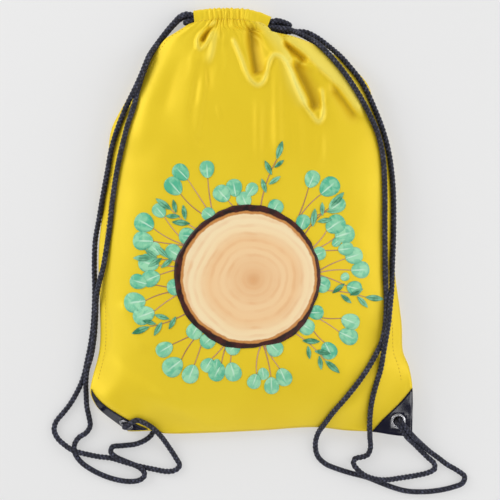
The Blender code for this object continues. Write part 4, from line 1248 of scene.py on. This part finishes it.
ink_grid(slice_ink, 120, 30, slice_shape, SLICE_LIFT)
disc = slice_ink.loops.layers.uv["ink"]
for face in slice_ink.faces:
    for loop in face.loops:
        place = loop.vert.co.xy / MM - PRINT_CENTRE
        loop[disc].uv = (place.x / SLICE_RADIUS.x, place.y / SLICE_RADIUS.y)
wood_slice = ink_piece("print_wood_slice", slice_ink)

# %% [markdown]
# ## Materials
# Shader nodes are plain arithmetic in disguise, so a small class wraps a socket and lets ordinary
# sums be written on it. Anything else is one call, with a node's type, its settings and what goes
# into its sockets.


# %% Writing nodes as sums
class Wire:
    """An output of a material's nodes, which ordinary sums work on."""

    def __init__(self, tree, socket=None):
        self.tree, self.socket = tree, socket

    def add(self, kind, settings=None, inputs=None, output=0):
        node = self.tree.nodes.new("ShaderNode" + kind)
        for name, value in (settings or {}).items():
            if name == "stops":
                ramp = node.color_ramp
                ramp.elements[0].position, ramp.elements[1].position = value[0][0], value[-1][0]
                for place, _ in value[1:-1]:
                    ramp.elements.new(place)
                for element, (_, colour) in zip(ramp.elements, value):
                    element.color = (*colour, 1.0)
            else:
                setattr(node, name, value)
        for name, value in (inputs or {}).items():
            if isinstance(value, Wire):
                self.tree.links.new(value.socket, node.inputs[name])
            else:
                node.inputs[name].default_value = value
        return Wire(self.tree, node.outputs[output])

    def own_place(self):
        """Where a point is in its piece's own space."""
        return self.add("TexCoord", output=3)

    def layout(self, name):
        return self.add("UVMap", {"uv_map": name})

    def stored(self, name):
        """A number that is kept at each point of the piece."""
        return self.add("Attribute", {"attribute_name": name}, output=2)

    def cloudy(self, place, scale, detail, **more):
        return self.add("TexNoise", None, {"Vector": place, "Scale": scale, "Detail": detail, **more})

    def maths(self, operation, *values):
        return self.add("Math", {"operation": operation}, dict(enumerate(values)))

    def sine(self):
        return self.maths("SINE", self)

    def size(self):
        return self.maths("ABSOLUTE", self)

    def __add__(self, other):
        return self.maths("ADD", self, other)

    def __sub__(self, other):
        return self.maths("SUBTRACT", self, other)

    def __rsub__(self, other):
        return self.maths("SUBTRACT", other, self)

    def __mul__(self, other):
        return self.maths("MULTIPLY", self, other)

    __radd__, __rmul__ = __add__, __mul__

    def blend(self, first, second):
        """A colour between two, by this value."""
        first, second = (c if isinstance(c, Wire) else (*c, 1.0) for c in (first, second))
        return self.add("Mix", {"data_type": "RGBA"}, {0: self, 6: first, 7: second}, output=2)

    def span(self, low, high):
        """0 below low, 1 above high, and smooth between them."""
        return self.add("MapRange", {"interpolation_type": "SMOOTHSTEP"},
                        {0: self, 1: low, 2: high})


def start_finish(name, **constants):
    """A material, a wire to begin from, and its shader with what is the same all over set."""
    made = bpy.data.materials.new(name)
    made.use_nodes = True
    shader = made.node_tree.nodes["Principled BSDF"]
    for socket, value in constants.items():
        shader.inputs[socket.replace("_", " ")].default_value = value
    return made, Wire(made.node_tree), shader


def feed(shader, **wires):
    for socket, wire in wires.items():
        wire.tree.links.new(wire.socket, shader.inputs[socket.replace("_", " ")])


def bump(height, strength, distance):
    return height.add("Bump", None, {"Strength": strength, "Distance": distance, "Height": height})


print("nodes can be written as sums")

# %% [markdown]
# ## Satin
# The bag is polyester satin: a tight weave with a soft shine that gathers on every fold. Warp and
# weft are two bands of waves half a millimetre apart on the cloth's own layout, so that they bend
# with it. Slow noise varies the colour and the shine a little, as handling and creases do.
# The colour also carries painted shade in the fold pockets and a painted highlight along the lips.

# %% Yellow satin
SATIN, SATIN_DEEP = (0.930, 0.690, 0.031), (0.865, 0.615, 0.021)
# painted shade for the fold pockets and a painted highlight for the fold lips
SATIN_PAINTED_POCKET_SHADE, SATIN_PAINTED_LIP_HIGHLIGHT = (0.560, 0.340, 0.009), (1.000, 0.900, 0.230)


def weave(wire, threads):
    flat = wire.layout("cloth")
    warp = wire.add("TexWave", {"bands_direction": "X"}, {"Vector": flat, "Scale": threads})
    weft = wire.add("TexWave", {"bands_direction": "Y"}, {"Vector": flat, "Scale": threads})
    return warp, weft, flat


satin, wire, shader = start_finish("yellow_satin", IOR=1.45, Metallic=0.13,
                                   Specular_Tint=(1.0, 0.88, 0.40, 1.0))
warp, weft, flat = weave(wire, 560.0)
place = wire.own_place()
cloud = wire.cloudy(place, 9.0, 3.0)
# the folds' painted shading: below zero paints shade, above zero paints a highlight
pale = wire.stored("pale")
slub = wire.cloudy(flat, 420.0, 2.0)
feed(shader,
     Base_Color=(pale * 0.6).blend((0.0 - pale * 0.8).blend(
         (cloud.span(0.35, 0.7) * 0.55 + slub * 0.25 + warp * 0.12).blend(SATIN, SATIN_DEEP),
         SATIN_PAINTED_POCKET_SHADE), SATIN_PAINTED_LIP_HIGHLIGHT),
     Roughness=cloud * 0.10 + slub * 0.08 + 0.34,
     Normal=bump(warp * 0.6 + weft * 0.4 + slub * 0.7, 0.22, 0.00006))
print(satin.name)

# %% [markdown]
# ## Black sheet
# The corners are a soft plastic sheet, almost black with a little blue and very glossy. Its shine
# wavers, because the sheet follows the layers under it, and it is a little dull where it is handled.

# %% Glossy corner sheet
sheet_black, wire, shader = start_finish("black_corner_sheet", IOR=1.5, Coat_Roughness=0.08,
                                         Specular_IOR_Level=0.32)
place = wire.own_place()
waver = wire.cloudy(place, 22.0, 0.5)
grain = wire.cloudy(place, 900.0, 2.0)
feed(shader,
     Base_Color=(waver * 0.6 + grain * 0.4).blend((0.0030, 0.0030, 0.014), (0.007, 0.007, 0.024)),
     Roughness=waver.span(0.4, 0.75) * 0.08 + grain * 0.04 + 0.13,
     Coat_Weight=waver.span(0.52, 0.68) * 0.9,
     Normal=bump(waver + grain * 0.006, 0.7, 0.0009))
print(sheet_black.name)

# %% [markdown]
# ## Cord, metal and thread
# Each bundle of the cord is hundreds of fine fibres, so it is dull, with streaks along it. Its colour
# is painted lighter on the crowns and nearly black in the grooves, as painted shade. The eyelets are
# nickel, brushed slightly by use.

# %% Braided cord
braid_navy, wire, shader = start_finish("navy_braid", IOR=1.45, Sheen_Weight=0.05, Sheen_Roughness=0.5,
                                        Sheen_Tint=(0.55, 0.6, 0.85, 1.0))
crown = wire.stored("crown")
flat = wire.layout("cord")
streaks = wire.add("Mapping", None, {"Vector": flat, "Rotation": (0.0, 0.0, 0.7),
                                     "Scale": (2600.0, 500.0, 1.0)})
fibre = wire.cloudy(streaks, 1.0, 3.0)
patchy = wire.cloudy(flat, 190.0, 1.0)
# painted shade in the grooves between bundles and painted light on their crowns, with fibre streaks and
# patches
painted_crown_light_and_streaks = crown.span(0.45, 0.97) * (fibre * 0.6 + patchy.span(0.42, 0.7) * 0.8)
feed(shader,
     Base_Color=painted_crown_light_and_streaks.blend((0.0035, 0.0035, 0.009), (0.070, 0.075, 0.125)),
     Roughness=0.72 - painted_crown_light_and_streaks * 0.22,
     Normal=bump(fibre, 0.5, 0.00012))
print(braid_navy.name)

# %% Nickel and thread
nickel, wire, shader = start_finish("eyelet_nickel", Metallic=1.0)
place = wire.own_place()
scratch = wire.cloudy(place, 1500.0, 3.0)
tarnish = wire.cloudy(place, 240.0, 2.0)
feed(shader,
     Base_Color=tarnish.span(0.35, 0.75).blend((0.46, 0.46, 0.48), (0.24, 0.24, 0.25)),
     Roughness=scratch * 0.14 + tarnish * 0.10 + 0.10,
     Normal=bump(scratch, 0.12, 0.00005))

stitch_thread, wire, shader = start_finish("stitch_thread", IOR=1.5, Sheen_Weight=0.15)
place = wire.own_place()
ply = wire.add("TexWave", {"bands_direction": "DIAGONAL"}, {"Vector": place, "Scale": 600.0})
feed(shader,
     Base_Color=ply.blend((0.62, 0.41, 0.010), (0.80, 0.56, 0.020)),
     Roughness=0.62 - ply * 0.12,
     Normal=bump(ply, 0.4, 0.00008))
print(nickel.name, stitch_thread.name)

# %% [markdown]
# ## Inks
# The inks are matte, take a little of the weave, and look like watercolour: washes that pool and
# fade, a pale vein down each leaf, and growth rings that waver with the wood's own warp.


# %% Leaf and twig inks
def leaf_finish(name, pale, deep, vein_colour, vein_width):
    made, wire, shader = start_finish(name, IOR=1.45)
    corner = wire.add("SeparateXYZ", None, {0: wire.layout("ink")})
    along, across = corner, Wire(wire.tree, corner.socket.node.outputs[1])
    tone = wire.stored("tone")
    place = wire.own_place()
    wash = wire.cloudy(place, 130.0, 4.0, Distortion=0.6)
    pool = (across - 0.5).size().span(0.30, 0.5)
    depth = tone * 0.50 + wash.span(0.38, 0.62) * 0.62 + pool * 0.20 - 0.16
    vein = (1.0 - (across - 0.5 + (wash - 0.5) * 0.06).size().span(0.0, vein_width))
    vein = vein * (1.0 - along.span(0.45, 0.8)) * along.span(0.02, 0.1)
    feed(shader,
         Base_Color=(vein * 0.75).blend(depth.blend(pale, deep), vein_colour),
         Roughness=wash * 0.12 + 0.42,
         Normal=bump(wash, 0.15, 0.00005))
    return made


mint_ink = leaf_finish("mint_leaf_ink", (0.36, 0.76, 0.47), (0.075, 0.49, 0.29),
                       (0.72, 0.93, 0.76), 0.075)
green_ink = leaf_finish("green_leaf_ink", (0.24, 0.62, 0.38), (0.012, 0.19, 0.085),
                        (0.008, 0.12, 0.05), 0.16)

stalk_ink, wire, shader = start_finish("stalk_ink", IOR=1.45)
tone = wire.stored("tone")
place = wire.own_place()
wash = wire.cloudy(place, 160.0, 3.0)
feed(shader,
     Base_Color=(tone * 0.6 + wash * 0.5 - 0.1).blend((0.66, 0.40, 0.24), (0.34, 0.13, 0.055)),
     Roughness=wash * 0.1 + 0.45)
print("leaf and stalk inks")

# %% Wood ink
wood_ink, wire, shader = start_finish("wood_slice_ink", IOR=1.45)
spokes = wire.layout("ink")
drift = wire.cloudy(spokes, 1.3, 2.0)
fine = wire.cloudy(spokes, 9.0, 5.0)
shifted = wire.add("Mapping", None, {"Vector": spokes, "Location": (-0.06, 0.05, 0.0)})
true_distance = spokes.add("VectorMath", {"operation": "LENGTH"}, {0: spokes}, output=1)
distance = spokes.add("VectorMath", {"operation": "LENGTH"}, {0: shifted}, output=1)
warped = distance + (drift - 0.5) * 0.20 + (fine - 0.5) * 0.024
ring = (warped * 58.0).sine() * 0.5 + 0.5
broad = (warped * 21.0 + 1.0).sine() * 0.5 + 0.5
ground_tone = warped.add("ValToRGB", {"stops": [
    (0.0, (0.78, 0.39, 0.16)), (0.12, (0.90, 0.55, 0.27)), (0.36, (0.98, 0.68, 0.37)),
    (0.58, (0.97, 0.64, 0.33)), (0.74, (1.0, 0.77, 0.45)), (1.0, (1.0, 0.84, 0.53))]}, {0: warped})
patchy = wire.cloudy(spokes, 2.6, 2.0).span(0.36, 0.66)
rings = ((ring.span(0.35, 1.0) * 0.34 + broad.span(0.4, 1.0) * 0.30) * (patchy * 0.75 + 0.25)).blend(
    ground_tone, (0.86, 0.46, 0.20))
edge = true_distance + (fine - 0.5) * 0.045 + (patchy - 0.5) * 0.012
inner_bark = edge.span(0.88, 0.90).blend(rings, (0.62, 0.26, 0.065))
bark = edge.span(0.918, 0.938).blend(inner_bark, fine.span(0.35, 0.7).blend(
    (0.010, 0.002, 0.0015), (0.075, 0.009, 0.004)))
feed(shader, Base_Color=bark, Roughness=fine * 0.14 + 0.40, Normal=bump(fine, 0.12, 0.00006))
print(wood_ink.name)

# %% [markdown]
# ## Putting the finishes on
# Each piece gets its finish, rides on the bag's one body, and names the solids that it takes the
# place of, which are hidden.

# %% Finishes and bodies
FINISHES = [
    (front, satin, "panel_fabric", ["front_panel"]),
    (back, satin, "panel_fabric", ["back_panel"]),
    (front_sleeve, satin, "panel_fabric", ["front_casing"]),
    (back_sleeve, satin, "panel_fabric", ["back_casing"]),
    (left_cord, braid_navy, "braided_cord", ["left_cord"]),
    (right_cord, braid_navy, "braided_cord", ["right_cord"]),
]
FINISHES += [(knots[side], braid_navy, "braided_cord", [f"{side}_cord_knot"]) for side in EYELETS]
FINISHES += [(made, sheet_black, "corner_sheet", [node]) for node, made in patches.items()]
FINISHES += [(made, nickel, "eyelet_metal", [node]) for node, made in metalwork.items()]
FINISHES += [(made, stitch_thread, "thread", [node]) for node, made in stitching.items()]
PRINTED = [(round_leaves, mint_ink), (slim_leaves, green_ink), (twigs, stalk_ink),
           (wood_slice, wood_ink)]
for made, finish, slot, nodes in FINISHES:
    made.data.materials.append(finish)
    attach(made, "root")
    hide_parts(*nodes)
for made, finish in PRINTED:
    made.data.materials.append(finish)
    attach(made, "root")
print(len(FINISHES) + len(PRINTED), "pieces")

# %% [markdown]
# The panels are sheets of cloth, cut to 34 by 42 centimetres and gathered at the mouth.

# %% The sheets
print("two sheets")

# %% [markdown]
# ## Floor and light
# A pale floor and soft light from all round keep the shadows faint. Two long soft boxes, low on the
# left and the right, are what the satin's ridges shine with.

# %% The studio
FLOOR_TONE, FLOOR_GLOW, SKY_STRENGTH = 0.44, 0.415, 1.21
floor_bm = bmesh.new()
bmesh.ops.create_grid(floor_bm, x_segments=1, y_segments=1, size=3.0)
floor = piece("floor", floor_bm)
floor_finish, _, shader = start_finish("pale_floor", Roughness=0.9)
shader.inputs["Base Color"].default_value = (FLOOR_TONE, FLOOR_TONE, FLOOR_TONE, 1.0)
shader.inputs["Emission Color"].default_value = (1.0, 1.0, 1.0, 1.0)
shader.inputs["Emission Strength"].default_value = FLOOR_GLOW
shader.inputs["Specular IOR Level"].default_value = 0.1
floor.data.materials.append(floor_finish)


def soft_box(name, place, target, size, watts):
    data = bpy.data.lights.new(name, "AREA")
    data.shape, data.size, data.size_y, data.energy = "RECTANGLE", size[0], size[1], watts
    made = bpy.data.objects.new(name, data)
    made.location = place
    made.rotation_euler = (Vector(target) - Vector(place)).to_track_quat("-Z", "Y").to_euler()
    bpy.context.scene.collection.objects.link(made)


soft_box("left_soft_box", (-1.35, 0.75, 0.80), (0, 0, 0), (0.8, 0.9), 10.0)
soft_box("right_soft_box", (1.45, 0.15, 0.80), (0, 0, 0), (0.6, 1.1), 5.5)
soft_box("high_strip", (0.52, -0.30, 1.5), (0.1, -0.1, 0), (0.2, 0.4), 2.2)
world = bpy.data.worlds.new("studio")
world.use_nodes = True
sky = Wire(world.node_tree)
upward = sky.add("SeparateXYZ", None, {0: sky.add("TexCoord")}, output=2)
tent = upward.add("ValToRGB", {"stops": [
    (0.0, (0.6, 0.6, 0.6)), (0.15, (1.0, 1.0, 1.0)), (0.45, (0.80, 0.80, 0.80)),
    (0.75, (0.36, 0.36, 0.36)), (1.0, (0.17, 0.17, 0.17))]}, {0: upward})
backdrop = world.node_tree.nodes["Background"]
world.node_tree.links.new(tent.socket, backdrop.inputs["Color"])
backdrop.inputs["Strength"].default_value = SKY_STRENGTH
bpy.context.scene.world = world
bpy.context.scene.view_settings.view_transform = "Standard"
print("studio is lit")

# %% [markdown]
# ## The size
# The finished model has to stay the size of its solids, give or take what cloth stands proud.

# %% The size
print("the bag is built")
